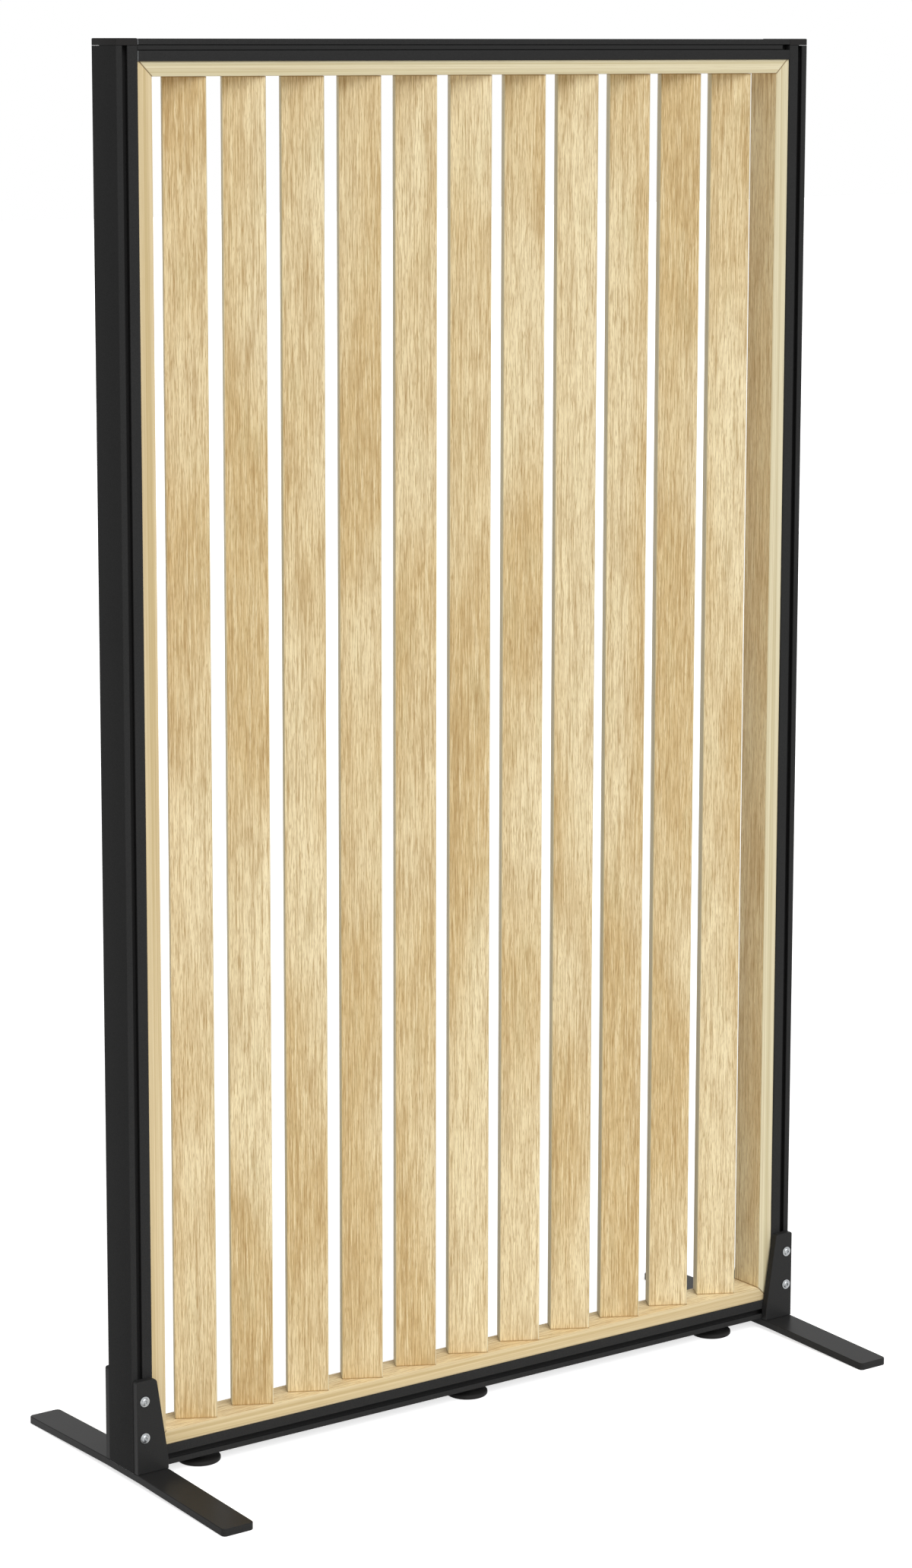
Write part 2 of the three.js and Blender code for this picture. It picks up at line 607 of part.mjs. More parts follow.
function insertGeometry() {
  const bore = STUD_RADIUS + SEAT_GAP;
  const flangeTop = INSERT_BOTTOM + INSERT_FLANGE;
  const top = INSERT_BOTTOM + INSERT_LENGTH;
  return turned([
    [bore, INSERT_BOTTOM],
    [INSERT_RADIUS + INSERT_RIM, INSERT_BOTTOM],
    [INSERT_RADIUS + INSERT_RIM, flangeTop],
    [INSERT_RADIUS, flangeTop],
    [INSERT_RADIUS, top],
    [bore, top],
    [bore, INSERT_BOTTOM],
  ], 24);
}

function addLeveller(name, x) {
  add(`${name}_leveller_pad`, padGeometry(), MATERIALS.plastic, [x, 0, 0]);
  add(`${name}_leveller_stud`, studGeometry(), MATERIALS.steel, [x, 0, 0]);
  add(`${name}_leveller_insert`, insertGeometry(), MATERIALS.steel, [x, 0, 0]);
}

// ---- the screen ---------------------------------------------------------------------------------

for (const [sideName, side] of Object.entries(SIDES)) {
  addPost(`${sideName}_post`, side);
  addPostCap(`${sideName}_post_cap`, side);
  addConnector(`top_${sideName}_connector`, side, RAIL_TOP, -1);
  addConnector(`bottom_${sideName}_connector`, side, FRAME_BOTTOM, 1);
  addFootBar(`${sideName}_foot_bar`, side);
  for (const [faceName, face] of Object.entries(FACES)) {
    addWing(`${sideName}_foot_${faceName}_wing`, side, face);
    addWingFasteners(sideName, side, faceName, face);
  }
}
addRails();
Object.entries(FACES).forEach(([name, face]) => addSlotStrip(`top_rail_${name}_slot_strip`, face));
addLining();
addSlats();
Object.entries(LEVELLERS).forEach(([name, x]) => addLeveller(name, x));

export default screen;
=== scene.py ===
# %% [markdown]
# # A timber slatted screen in a dark metal frame
# The real object is a freestanding privacy screen: two slotted aluminium posts, two aluminium rails, a
# pale timber lining, and eleven upright oak slats that are all turned by the same angle. Its solids come
# packed from CAD, with every piece in its place. This lesson only dresses them, so it never moves one.
# A piece that needs rounder edges or finer parts is built again here, in the same place, and stands for
# the CAD piece. The first cell loads the imported model.

# %% Load the imported model
import json
import math

import bmesh
import bpy
from mathutils import Matrix, Vector
from mathutils.geometry import tessellate_polygon

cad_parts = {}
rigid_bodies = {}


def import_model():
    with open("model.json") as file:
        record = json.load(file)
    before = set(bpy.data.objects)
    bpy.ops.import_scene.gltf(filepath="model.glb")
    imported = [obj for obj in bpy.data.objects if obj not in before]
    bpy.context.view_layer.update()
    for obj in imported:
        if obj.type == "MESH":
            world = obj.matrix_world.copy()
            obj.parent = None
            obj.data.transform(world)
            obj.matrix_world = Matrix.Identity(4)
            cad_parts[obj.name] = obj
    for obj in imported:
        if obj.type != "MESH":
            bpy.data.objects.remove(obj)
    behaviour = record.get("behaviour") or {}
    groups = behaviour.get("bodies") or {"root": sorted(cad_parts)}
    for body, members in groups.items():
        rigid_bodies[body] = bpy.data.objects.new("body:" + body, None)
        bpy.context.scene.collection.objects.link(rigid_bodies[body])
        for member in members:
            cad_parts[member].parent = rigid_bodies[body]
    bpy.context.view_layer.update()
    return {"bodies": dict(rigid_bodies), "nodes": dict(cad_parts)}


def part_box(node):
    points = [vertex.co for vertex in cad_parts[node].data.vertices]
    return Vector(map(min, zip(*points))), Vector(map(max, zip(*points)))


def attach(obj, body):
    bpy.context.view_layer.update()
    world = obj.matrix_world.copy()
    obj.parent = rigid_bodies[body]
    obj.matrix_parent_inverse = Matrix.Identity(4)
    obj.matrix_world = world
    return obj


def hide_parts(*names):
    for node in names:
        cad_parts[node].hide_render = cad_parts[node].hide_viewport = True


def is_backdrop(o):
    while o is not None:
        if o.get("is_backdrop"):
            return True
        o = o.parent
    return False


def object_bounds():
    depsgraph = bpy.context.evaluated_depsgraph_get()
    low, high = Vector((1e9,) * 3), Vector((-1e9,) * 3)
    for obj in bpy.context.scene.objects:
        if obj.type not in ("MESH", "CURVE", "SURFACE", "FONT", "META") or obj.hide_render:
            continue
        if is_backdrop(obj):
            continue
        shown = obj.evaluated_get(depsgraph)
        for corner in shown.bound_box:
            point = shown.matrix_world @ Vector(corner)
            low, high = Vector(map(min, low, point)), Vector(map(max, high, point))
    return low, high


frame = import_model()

# %% [markdown]
# Sizes in this lesson are in millimetres, as on a drawing, while Blender counts in metres. Most places are
# read back from the CAD pieces with a small helper, so that nothing has to be fitted by eye. Colours are
# written as sRGB hex values, the way a paint chart gives them. Blender's nodes work with linear light, so
# one function converts them.

# %% Units and colours
MM = 0.001


def box_mm(node):
    """Lowest and highest corner of a CAD piece, in millimetres."""
    low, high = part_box(node)
    return [round(v / MM, 3) for v in low], [round(v / MM, 3) for v in high]


def middle_of(node):
    low, high = box_mm(node)
    return [(a + b) / 2 for a, b in zip(low, high)]


def outer_face(node, side):
    """The x of a piece's outer face, on the left side (-1) or the right side (1) of the screen."""
    low, high = box_mm(node)
    return high[0] if side > 0 else low[0]


def hex_colour(text):
    """An sRGB hex colour as the linear RGBA that nodes take."""
    channels = [int(text[i:i + 2], 16) / 255 for i in (1, 3, 5)]
    linear = [c / 12.92 if c <= 0.04045 else ((c + 0.055) / 1.055) ** 2.4 for c in channels]
    return (*linear, 1.0)


print("left post, mm:", box_mm("left_post"))

# %% [markdown]
# Both materials and Geometry Nodes are trees of nodes. One small function adds a node of any kind, sets its
# properties, and fills its inputs. An input gets either a plain value or a link from another node's
# output, which keeps each tree short enough to read from top to bottom.

# %% One function that adds a node


def add_node(tree, kind, settings=None, inputs=None):
    """Adds a node. settings are its properties; inputs are values or sockets, by name or number."""
    node = tree.nodes.new(kind)
    for name, value in (settings or {}).items():
        setattr(node, name, value)
    for name, value in (inputs or {}).items():
        if isinstance(value, bpy.types.NodeSocket):
            tree.links.new(value, node.inputs[name])
        else:
            node.inputs[name].default_value = value
    return node


def new_material(name):
    """A material with an empty tree, its Principled shader and its output."""
    material = bpy.data.materials.new(name)
    material.use_nodes = True
    tree = material.node_tree
    tree.nodes.clear()
    shader = add_node(tree, "ShaderNodeBsdfPrincipled")
    add_node(tree, "ShaderNodeOutputMaterial", inputs={"Surface": shader.outputs["BSDF"]})
    return material, tree, shader


def grained(tree, shader, gloss, height, roughness, spread, depth_mm, strength=0.5):
    """Lets one value vary the roughness by spread, and another give relief that is depth_mm deep."""
    dull_inputs = {"Value": gloss, "To Min": roughness - spread, "To Max": roughness + spread}
    dull = add_node(tree, "ShaderNodeMapRange", inputs=dull_inputs)
    tree.links.new(dull.outputs[0], shader.inputs["Roughness"])
    bump_inputs = {"Strength": strength, "Distance": depth_mm * MM, "Height": height}
    bump = add_node(tree, "ShaderNodeBump", inputs=bump_inputs)
    tree.links.new(bump.outputs[0], shader.inputs["Normal"])


print("node helpers ready")

# %% [markdown]
# The frame is powder coated: a dry paint, sprayed on and baked, with a very faint orange-peel ripple a
# millimetre or two across. On the extruded posts and rails it is matt and hardly reflects. On the thick
# steel plates of the feet it is a satin black, which catches the bright surround at a flat angle. The same
# function makes both, each with its own colour, gloss and ripple. A fine speckle breaks up the tone.

# %% Powder coat


GRIT = 1.4  # mm across the fine specks


def powder_coat(name, base, tint, roughness, shine, ripple_mm, ripple_depth_mm):
    material, tree, shader = new_material(name)
    place = add_node(tree, "ShaderNodeTexCoord").outputs["Object"]
    cloud_inputs = {"Vector": place, "Scale": 6.0, "Detail": 3.0}
    cloud = add_node(tree, "ShaderNodeTexNoise", inputs=cloud_inputs).outputs[0]
    blend_inputs = {0: cloud, 6: hex_colour(base), 7: hex_colour(tint)}
    blend = add_node(tree, "ShaderNodeMix", {"data_type": "RGBA"}, blend_inputs).outputs[2]
    grit_inputs = {"Vector": place, "Scale": 1 / (GRIT * MM), "Detail": 2.0}
    grit = add_node(tree, "ShaderNodeTexNoise", inputs=grit_inputs).outputs[0]
    speck_inputs = {"Value": grit, "From Min": 0.3, "From Max": 0.7, "To Min": 0.9, "To Max": 1.1}
    speck = add_node(tree, "ShaderNodeMapRange", inputs=speck_inputs).outputs[0]
    tone_inputs = {0: blend, "Scale": speck}
    tone = add_node(tree, "ShaderNodeVectorMath", {"operation": "SCALE"}, tone_inputs)
    tree.links.new(tone.outputs[0], shader.inputs["Base Color"])
    shader.inputs["Specular IOR Level"].default_value = shine
    peel_inputs = {"Vector": place, "Scale": 1 / (ripple_mm * MM), "Detail": 1.0}
    peel = add_node(tree, "ShaderNodeTexNoise", inputs=peel_inputs).outputs[0]
    grained(tree, shader, cloud, peel, roughness, 0.04, ripple_depth_mm, 0.6)
    return material


coat_on_extrusion = powder_coat("matt_coat_on_extruded_aluminium", "#2e2e2e", "#333333",
                                0.5, 0.01, 1.6, 0.02)
coat_on_plate = powder_coat("satin_coat_on_steel_plate", "#2a2a2a", "#2e2e2e", 0.3, 0.06, 2.2, 0.03)
print("coats:", coat_on_extrusion.name, coat_on_plate.name)

# %% [markdown]
# Where a coated extrusion is sawn to length its end stays bare: silver-grey aluminium with fine, straight
# scratches from the saw. It shows only as a thin light line at the foot of each post, and inside the
# hollow of the profile. The scratches are stretched noise across the cut. The screws, studs and nuts are
# zinc plated, a brighter and bluer grey with finer marks, and come from the same function.

# %% Bare aluminium


def marked(name, dark, light, roughness, spread, marks, detail, fineness, depth_mm):
    """A material whose tone, gloss and relief all follow one noise, with marks cells to a metre."""
    material, tree, shader = new_material(name)
    place = add_node(tree, "ShaderNodeTexCoord").outputs["Object"]
    stretched = add_node(tree, "ShaderNodeMapping", inputs={"Vector": place, "Scale": marks})
    mark_inputs = {"Vector": stretched.outputs[0], "Scale": 1.0, "Detail": detail, "Roughness": fineness}
    mark = add_node(tree, "ShaderNodeTexNoise", inputs=mark_inputs).outputs[0]
    shade_inputs = {0: mark, 6: hex_colour(dark), 7: hex_colour(light)}
    shade = add_node(tree, "ShaderNodeMix", {"data_type": "RGBA"}, shade_inputs)
    tree.links.new(shade.outputs[2], shader.inputs["Base Color"])
    grained(tree, shader, mark, mark, roughness, spread, depth_mm)
    return material, shader


def metal(name, dark, light, roughness, scratches, depth_mm):
    material, shader = marked(name, dark, light, roughness, 0.08, scratches, 4.0, 0.6, depth_mm)
    shader.inputs["Metallic"].default_value = 1.0
    return material


sawn_aluminium = metal("sawn_bare_aluminium", "#8e9092", "#b9bbbd", 0.45, (300, 1800, 300), 0.02)
zinc_plate = metal("bright_zinc_plated_steel", "#8b8e90", "#b4b7b9", 0.34, (500, 500, 500), 0.01)
print("metals:", sawn_aluminium.name, zinc_plate.name)

# %% [markdown]
# The end caps, the levelling pads and the long strips in the top rail are plastic. Moulded nylon has a fine
# spark-eroded texture from its mould, about half a millimetre across, and a dull, slightly brownish black.
# The strips are extruded PVC, smoother, with faint lines along their length.

# %% Black plastics


def plastic(name, base, tint, roughness, texture, depth_mm):
    material, shader = marked(name, base, tint, roughness, 0.06, texture, 2.0, 0.5, depth_mm)
    shader.inputs["Specular IOR Level"].default_value = 0.04
    return material


moulded_nylon = plastic("moulded_black_nylon", "#282727", "#2e2d2c", 0.5, (1400, 1400, 1400), 0.03)
extruded_pvc = plastic("extruded_black_pvc", "#2b2b2b", "#303030", 0.48, (40, 1500, 1500), 0.02)
print("plastics:", moulded_nylon.name, extruded_pvc.name)

# %% [markdown]
# The slats and the lining boards have oak faces and paler ash edges, all with a thin matt oil finish. Oak
# shows three things at once: broad soft bands where the growth rings meet the face, fine fibres along
# the length, and short darker pores. Ash edges show straight parallel layers. Each is a noise stretched
# along the grain. Every timber piece carries its own "grain" coordinate, in metres, with the length along
# Z, so the figure runs along each board and never repeats from one piece to the next. A second
# coordinate, "ends", holds the distance to both sawn ends, where the last millimetre is painted brown as
# the shade that falls into the joint. Real pores are a fifth of a millimetre wide, so they are drawn
# coarser.

# %% Oiled timber


def stretched_noise(tree, grain, across_mm, along_mm, detail, roughness=0.5, distortion=0.0):
    """Noise whose cells are across_mm wide and along_mm long."""
    scale = (1 / (across_mm * MM), 1 / (across_mm * MM), 1 / (along_mm * MM))
    place = add_node(tree, "ShaderNodeMapping", inputs={"Vector": grain, "Scale": scale})
    noise_inputs = {"Vector": place.outputs[0], "Scale": 1.0, "Detail": detail, "Roughness": roughness,
                    "Distortion": distortion}
    return add_node(tree, "ShaderNodeTexNoise", inputs=noise_inputs).outputs[0]


def nearest_end(tree):
    """Distance to the nearer sawn end of the piece, in metres."""
    ends = add_node(tree, "ShaderNodeAttribute", {"attribute_name": "ends", "attribute_type": "GEOMETRY"})
    gaps = add_node(tree, "ShaderNodeSeparateXYZ", inputs={0: ends.outputs["Vector"]}).outputs
    return add_node(tree, "ShaderNodeMath", {"operation": "MINIMUM"}, {0: gaps[0], 1: gaps[1]}).outputs[0]


def timber(name, ground, cells, layers, joint_shade_colour):
    """A ground colour under layers of stretched noise, each over the last, and a thin matt oil over all.

    cells holds what stretched_noise takes for each noise. A layer is (noise, low, high, weight, colour):
    it starts to show where its noise is low, and has its full weight where the noise is high. The last
    millimetre before a sawn end is painted darker, as the shade in the joint, which shows as a thin line.
    """
    material, tree, shader = new_material(name)
    grain = add_node(tree, "ShaderNodeAttribute",
                     {"attribute_name": "grain", "attribute_type": "GEOMETRY"}).outputs["Vector"]
    noises = {label: stretched_noise(tree, grain, *cell) for label, cell in cells.items()}
    noises["end"] = nearest_end(tree)
    colour = hex_colour(ground)
    # The last layer is painted shade: the last millimetre before each sawn end turns darker, as the joint's
    # shadow.
    for label, low, high, weight, over in [*layers, ("end", 1.6 * MM, 0.5 * MM, 0.75, joint_shade_colour)]:
        span = {"Value": noises[label], "From Min": low, "From Max": high, "To Min": 0.0, "To Max": weight}
        mask = add_node(tree, "ShaderNodeMapRange", inputs=span).outputs[0]
        mix = {0: mask, 6: colour, 7: hex_colour(over)}
        colour = add_node(tree, "ShaderNodeMix", {"data_type": "RGBA"}, mix).outputs[2]
    tree.links.new(colour, shader.inputs["Base Color"])
    shader.inputs["Specular IOR Level"].default_value = 0.25
    grained(tree, shader, noises["fibres"], noises["fibres"], 0.58, 0.08, 0.05)
    return material


OAK_CELLS = {
    "drift": (150, 480, 2.0, 0.45),
    "blotches": (26, 110, 2.0),
    "bands": (5, 260, 3.0, 0.6, 0.2),
    "streaks": (1.7, 80, 2.0, 0.6),
    "fibres": (1.0, 28, 2.0, 0.7),
    "pores": (0.9, 11, 1.0, 0.5),
}
ASH_CELLS = {
    "layers": (5, 1600, 2.0, 0.5),
    "lines": (1.6, 700, 2.0, 0.6),
    "fibres": (0.8, 60, 2.0, 0.6),
}


def oak(name, pale, tan, brown, cool):
    layers = [
        ("drift", 0.42, 0.58, 1.0, tan),
        ("blotches", 0.5, 0.75, 0.3, brown), ("blotches", 0.45, 0.25, 0.35, cool),
        ("bands", 0.5, 0.72, 0.4, brown),
        ("streaks", 0.5, 0.7, 0.55, brown), ("streaks", 0.46, 0.3, 0.7, pale),
        ("fibres", 0.5, 0.68, 0.65, brown), ("fibres", 0.45, 0.3, 0.5, pale),
        ("pores", 0.56, 0.72, 0.5, brown),
    ]
    return timber(name, pale, OAK_CELLS, layers, brown)


def ash(name, pale, tan, brown):
    layers = [("layers", 0.42, 0.62, 1.0, tan), ("lines", 0.5, 0.68, 0.35, brown),
              ("fibres", 0.5, 0.7, 0.2, brown)]
    return timber(name, pale, ASH_CELLS, layers, "#7a5f3a")


oiled_oak = oak("oiled_oak", "#f6e6bd", "#dac08e", "#a5824c", "#cec195")
# A lighter copy of the same oak for the boards' inner faces: painted light, which makes up for the shade on
# them.
oak_lightened_for_shade = oak("oiled_oak_lightened_board_face", "#fff0c6", "#f0d7a6", "#b58f58", "#e2d2a2")
pale_ash = ash("oiled_pale_ash_edge", "#e2d8b7", "#cfc39d", "#b09462")
golden_ash = ash("oiled_golden_ash_edge", "#ddcaa1", "#cbb688", "#ac8b55")
print("timbers:", [m.name for m in (oiled_oak, oak_lightened_for_shade, pale_ash, golden_ash)])

# %% [markdown]
# Nearly every metal piece here is a flat outline drawn out along a line: an extrusion, a plate or a strip.
# So the next helpers turn a list of corners into a rounded outline, move an outline inwards for a small
# bevel, and skin the space between outlines. An outline with a hollow in it gets both its skins, and its
# two ends are closed with triangles that leave the hollow open.

# %% Outlines


def rounded(corners, steps=5):
    """A closed outline from [x, y] or [x, y, radius], where radius is cut back along both sides."""
    points = []
    for i, (x, y, *radius) in enumerate(corners):
        here = Vector((x, y))
        if not radius or radius[0] == 0:
            points.append(here)
            continue
        back = (Vector(corners[i - 1][:2]) - here).normalized()
        on = (Vector(corners[(i + 1) % len(corners)][:2]) - here).normalized()
        weight = math.sin(back.angle(on) / 2)
        for k in range(steps + 1):
            t = k / steps
            a, b, c = (1 - t) ** 2, 2 * t * (1 - t) * weight, t ** 2
            start, end = here + back * radius[0], here + on * radius[0]
            points.append((start * a + here * b + end * c) / (a + b + c))
    return points


def inset(points, distance):
    """The outline moved to its left, which is into the material of a section drawn counter-clockwise."""
    moved = []
    for i, here in enumerate(points):
        before = (here - points[i - 1]).normalized()
        after = (points[(i + 1) % len(points)] - here).normalized()
        n1, n2 = Vector((-before.y, before.x)), Vector((-after.y, after.x))
        moved.append(here + (n1 + n2) * (distance / (1 + n1.dot(n2))))
    return moved


def area(points):
    """Signed area of an outline, positive when it runs counter-clockwise."""
    pairs = zip(points, [*points[1:], points[0]])
    return sum(a.x * b.y - b.x * a.y for a, b in pairs) / 2


def turned_left(points):
    return points if area(points) > 0 else points[::-1]


def rectangle(x0, y0, x1, y1, r, steps=5):
    return rounded([[x0, y0, r], [x1, y0, r], [x1, y1, r], [x0, y1, r]], steps)


print("a 30 x 58 outline:", len(rectangle(0, 0, 30, 58, 2)), "points")

# %% [markdown]
# A mesh is made from points in millimetres and lists of their numbers. Every piece is closed, so its faces
# can be turned outwards afterwards in one go, and its flat faces are kept flat by marking each edge that
# bends more than a set angle as sharp. The piece then goes under the body that it moves with, and is said
# to stand for its CAD pieces.

# %% Meshes and pieces
CREASE = math.radians(32)


def make_mesh(name, points, faces, face_slots=None, materials=()):
    mesh = bpy.data.meshes.new(name)
    mesh.from_pydata([Vector(p) * MM for p in points], [], faces)
    for material in materials:
        mesh.materials.append(material)
    if face_slots:
        mesh.polygons.foreach_set("material_index", face_slots)
    outward = bmesh.new()
    outward.from_mesh(mesh)
    bmesh.ops.remove_doubles(outward, verts=outward.verts, dist=1e-6)
    bmesh.ops.recalc_face_normals(outward, faces=outward.faces)
    outward.to_mesh(mesh)
    outward.free()
    return mesh


def new_object(name, mesh):
    piece = bpy.data.objects.new(name, mesh)
    bpy.context.scene.collection.objects.link(piece)
    return piece


def fit(piece, body, slot, *nodes):
    """Puts a finished piece in the place of its CAD nodes, on the body that they ride on."""
    piece.data.shade_smooth()
    piece.data.set_sharp_from_angle(angle=CREASE)
    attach(piece, body)
    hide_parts(*nodes)
    print(piece.name, "stands for", len(nodes), "CAD piece(s),", len(piece.data.polygons), "faces")


def fit_mesh(mesh, slot, node):
    """The same for a mesh that stands for one CAD piece of the screen itself."""
    fit(new_object(mesh.name, mesh), "screen", slot, node)


# %% [markdown]
# Booleans cut holes and sockets. The modifier is set to its exact solver, its result is taken as a plain
# mesh, and the cutter is thrown away, so nothing live is left on the piece.

# %% Boolean cuts


def carve(piece, cutter, operation="DIFFERENCE"):
    cutter_object = new_object("cutter", cutter)
    modifier = piece.modifiers.new("carve", "BOOLEAN")
    modifier.operation = operation
    modifier.solver = "EXACT"
    modifier.object = cutter_object
    graph = bpy.context.evaluated_depsgraph_get()
    result = bpy.data.meshes.new_from_object(piece.evaluated_get(graph))
    piece.modifiers.remove(modifier)
    piece.data = result
    bpy.data.objects.remove(cutter_object)


def skin(loops, close=True):
    """Faces between consecutive loops of equal length, whose points are numbered one after another."""
    count = len(loops[0])
    faces = []
    for k in range(len(loops) - 1):
        for i in range(count):
            j = (i + 1) % count
            a, b = k * count, (k + 1) * count
            faces.append([a + i, a + j, b + j, b + i])
    if close:
        last = (len(loops) - 1) * count
        faces += [list(range(count))[::-1], list(range(last, last + count))]
    return faces


def lofted(name, loops, materials=()):
    """A closed body through loops of equal length, with flat ends."""
    points = [p for loop in loops for p in loop]
    return make_mesh(name, points, skin(loops), materials=materials)


def prism_along_y(outline, y0, y1, bevel=0.0):
    """Loops of an outline in X and Z, drawn out from y0 to y1, with bevelled rims."""
    outline = turned_left(outline)
    rims = [(y0, bevel), (y0 + bevel, 0), (y1 - bevel, 0), (y1, bevel)] if bevel else [(y0, 0), (y1, 0)]
    return [[(p.x, y, p.y) for p in inset(outline, depth)] for y, depth in rims]


def turned(profile, sides, x=0.0):
    """Loops of a profile of (radius, height), turned about an upright axis x mm from the middle."""
    angles = [2 * math.pi * i / sides for i in range(sides)]
    return [[(x + radius * math.cos(a), radius * math.sin(a), height) for a in angles]
            for radius, height in profile]


def rod_along_y(radius, x, z, y0, y1, sides=32):
    circle = [Vector((x + radius * math.cos(2 * math.pi * i / sides),
                      z + radius * math.sin(2 * math.pi * i / sides))) for i in range(sides)]
    return prism_along_y(circle, y0, y1)


print("cutting helpers ready")

# %% [markdown]
# The posts and rails are extrusions with long T-slots: a narrow mouth between two lips, and a wider channel
# behind them. The lips' edges are slightly rounded, because a sharp edge neither survives the die nor
# holds its coat. One function draws the corners of a slot, and the section of each profile is a list of
# corners that calls it. The pieces run from end to end of their CAD solids.

# %% Slotted extrusions
EXTRUSION_CORNER = 1.2
LIP_EDGE = 0.5  # rounding of the lips of a slot
SLOT_LIP = 2.4
WALL = 2.2
SLOT_DEPTH = 11
LONG_SLOT = (7.2, 13.2, SLOT_DEPTH)  # mouth, channel and depth of a slot in a front or rear face
JOINT_SLOT = (10, 16, 8)  # the same for the slot in a post's inner face
CUT_EDGE = 0.25  # the fine broken edge round a sawn end


def t_slot(x, y, dx, dy, mouth, cavity, depth):
    """Corners of a slot in a face that runs in the direction (dx, dy), with material on its left."""
    def at(along, inward, radius=0.0):
        return [x + dx * along - dy * inward, y + dy * along + dx * inward, radius]
    return [
        at(-mouth / 2, 0, LIP_EDGE), at(-mouth / 2, SLOT_LIP, LIP_EDGE), at(-cavity / 2, SLOT_LIP),
        at(-cavity / 2, depth, 1.0), at(cavity / 2, depth, 1.0), at(cavity / 2, SLOT_LIP),
        at(mouth / 2, SLOT_LIP, LIP_EDGE), at(mouth / 2, 0, LIP_EDGE),
    ]


def extruded(name, section, hollow, place, start, end):
    """A mesh of a section with a hollow, from start to end. place(u, v, along) gives its points."""
    stations = [(start, CUT_EDGE), (start + CUT_EDGE, 0), (end - CUT_EDGE, 0), (end, CUT_EDGE)]
    points, faces, slots = [], [], []
    ends = {0: [], len(stations) - 1: []}
    for number, outline in enumerate([turned_left(section), turned_left(hollow)[::-1]]):
        first = len(points)
        loops = [[place(p.x, p.y, along) for p in inset(outline, depth)] for along, depth in stations]
        points += [p for loop in loops for p in loop]
        faces += [[first + i for i in face] for face in skin(loops, close=False)]
        for k in range(len(stations) - 1):
            bare = number == 1 or k == 0
            slots += [1 if bare else 0] * len(outline)
        for k in ends:
            ends[k].append((first + k * len(outline), inset(outline, CUT_EDGE)))
    for rings in ends.values():
        flat = [[Vector((p.x, p.y, 0)) for p in ring] for _, ring in rings]
        numbers = [first + i for first, ring in rings for i in range(len(ring))]
        triangles = tessellate_polygon(flat)
        faces += [[numbers[i] for i in triangle] for triangle in triangles]
        slots += [1] * len(triangles)
    return make_mesh(name, points, faces, slots, [coat_on_extrusion, sawn_aluminium])


print("slot mouth, channel and depth, mm:", LONG_SLOT)

# %% [markdown]
# A post stands on its foot with the section's long sides facing left and right. Its front and rear slots
# take the screws of the feet, and its inner slot takes the corner connectors. The two posts are mirror
# images, so the section is drawn from the outer face inwards and placed on either side.

# %% Posts
POST_WIDTH, HALF_DEPTH, POST_SLOT_OFFSET = 30, 29, 12
HALF_HOLLOW = HALF_DEPTH - SLOT_DEPTH - WALL  # from the mid-plane to the web behind a long slot
POST_HOLLOW_END = POST_WIDTH - JOINT_SLOT[2] - WALL  # from the outer face to the far side of the hollow
SIDES = {"left": -1, "right": 1}


def post_section():
    r = EXTRUSION_CORNER
    return rounded([
        [0, -HALF_DEPTH, r],
        *t_slot(POST_SLOT_OFFSET, -HALF_DEPTH, 1, 0, *LONG_SLOT),
        [POST_WIDTH, -HALF_DEPTH, r],
        *t_slot(POST_WIDTH, 0, 0, 1, *JOINT_SLOT),
        [POST_WIDTH, HALF_DEPTH, r],
        *t_slot(POST_SLOT_OFFSET, HALF_DEPTH, -1, 0, *LONG_SLOT),
        [0, HALF_DEPTH, r],
    ], steps=4)


for side_name, side in SIDES.items():
    node = f"{side_name}_post"
    low, high = box_mm(node)
    outer = outer_face(node, side)
    place = lambda u, v, along: (outer - side * u, v, along)
    hollow = rectangle(WALL, -HALF_HOLLOW, POST_HOLLOW_END, HALF_HOLLOW, 1, steps=3)
    mesh = extruded(f"{side_name}_slotted_post", post_section(), hollow, place, low[2], high[2])
    fit_mesh(mesh, "frame", node)

# %% [markdown]
# The rails have one slot in the front and one in the rear, and two thin lips that reach over the edges of
# the timber lining. The bottom rail is the top rail turned over. Three holes in its web take the threaded
# inserts of the levelling feet, so they are cut where the CAD inserts are.

# %% Rails
RAIL_HEIGHT, RAIL_LIP, RAIL_WEB, RAIL_SLOT_OFFSET = 27, 2, 24.1, 10.7
LIP_ROUND = 0.5
INSERT_HOLE = 5.8  # radius
LEVELLERS = ("left", "centre", "right")


def rail_section():
    r, inner, lip = EXTRUSION_CORNER, HALF_DEPTH - RAIL_LIP, LIP_ROUND
    return rounded([
        [-HALF_DEPTH, 0, r], [HALF_DEPTH, 0, r],
        *t_slot(HALF_DEPTH, RAIL_SLOT_OFFSET, 0, 1, *LONG_SLOT),
        [HALF_DEPTH, RAIL_HEIGHT, lip], [inner, RAIL_HEIGHT, lip], [inner, RAIL_WEB, lip],
        [-inner, RAIL_WEB, lip], [-inner, RAIL_HEIGHT, lip], [-HALF_DEPTH, RAIL_HEIGHT, lip],
        *t_slot(-HALF_DEPTH, RAIL_SLOT_OFFSET, 0, -1, *LONG_SLOT),
    ], steps=4)


def rail(node, edge, inward):
    low, high = box_mm(node)
    place = lambda u, v, along: (along, u, edge + inward * v)
    hollow = rectangle(-HALF_HOLLOW, WALL, HALF_HOLLOW, RAIL_WEB - WALL, 1, steps=3)
    name = node.replace("rail", "slotted_rail")
    return extruded(name, rail_section(), hollow, place, low[0], high[0])


top_rail_edge = box_mm("top_rail")[1][2]
bottom_rail_edge = box_mm("bottom_rail")[0][2]
fit_mesh(rail("top_rail", top_rail_edge, -1), "frame", "top_rail")
mesh = rail("bottom_rail", bottom_rail_edge, 1)
bottom_rail = new_object(mesh.name, mesh)
for name in LEVELLERS:
    hole = [(INSERT_HOLE, bottom_rail_edge - 2), (INSERT_HOLE, bottom_rail_edge + WALL + 2)]
    carve(bottom_rail, lofted("hole", turned(hole, 32, middle_of(f"{name}_leveller_insert")[0])))
fit(bottom_rail, "screen", "frame", "bottom_rail")

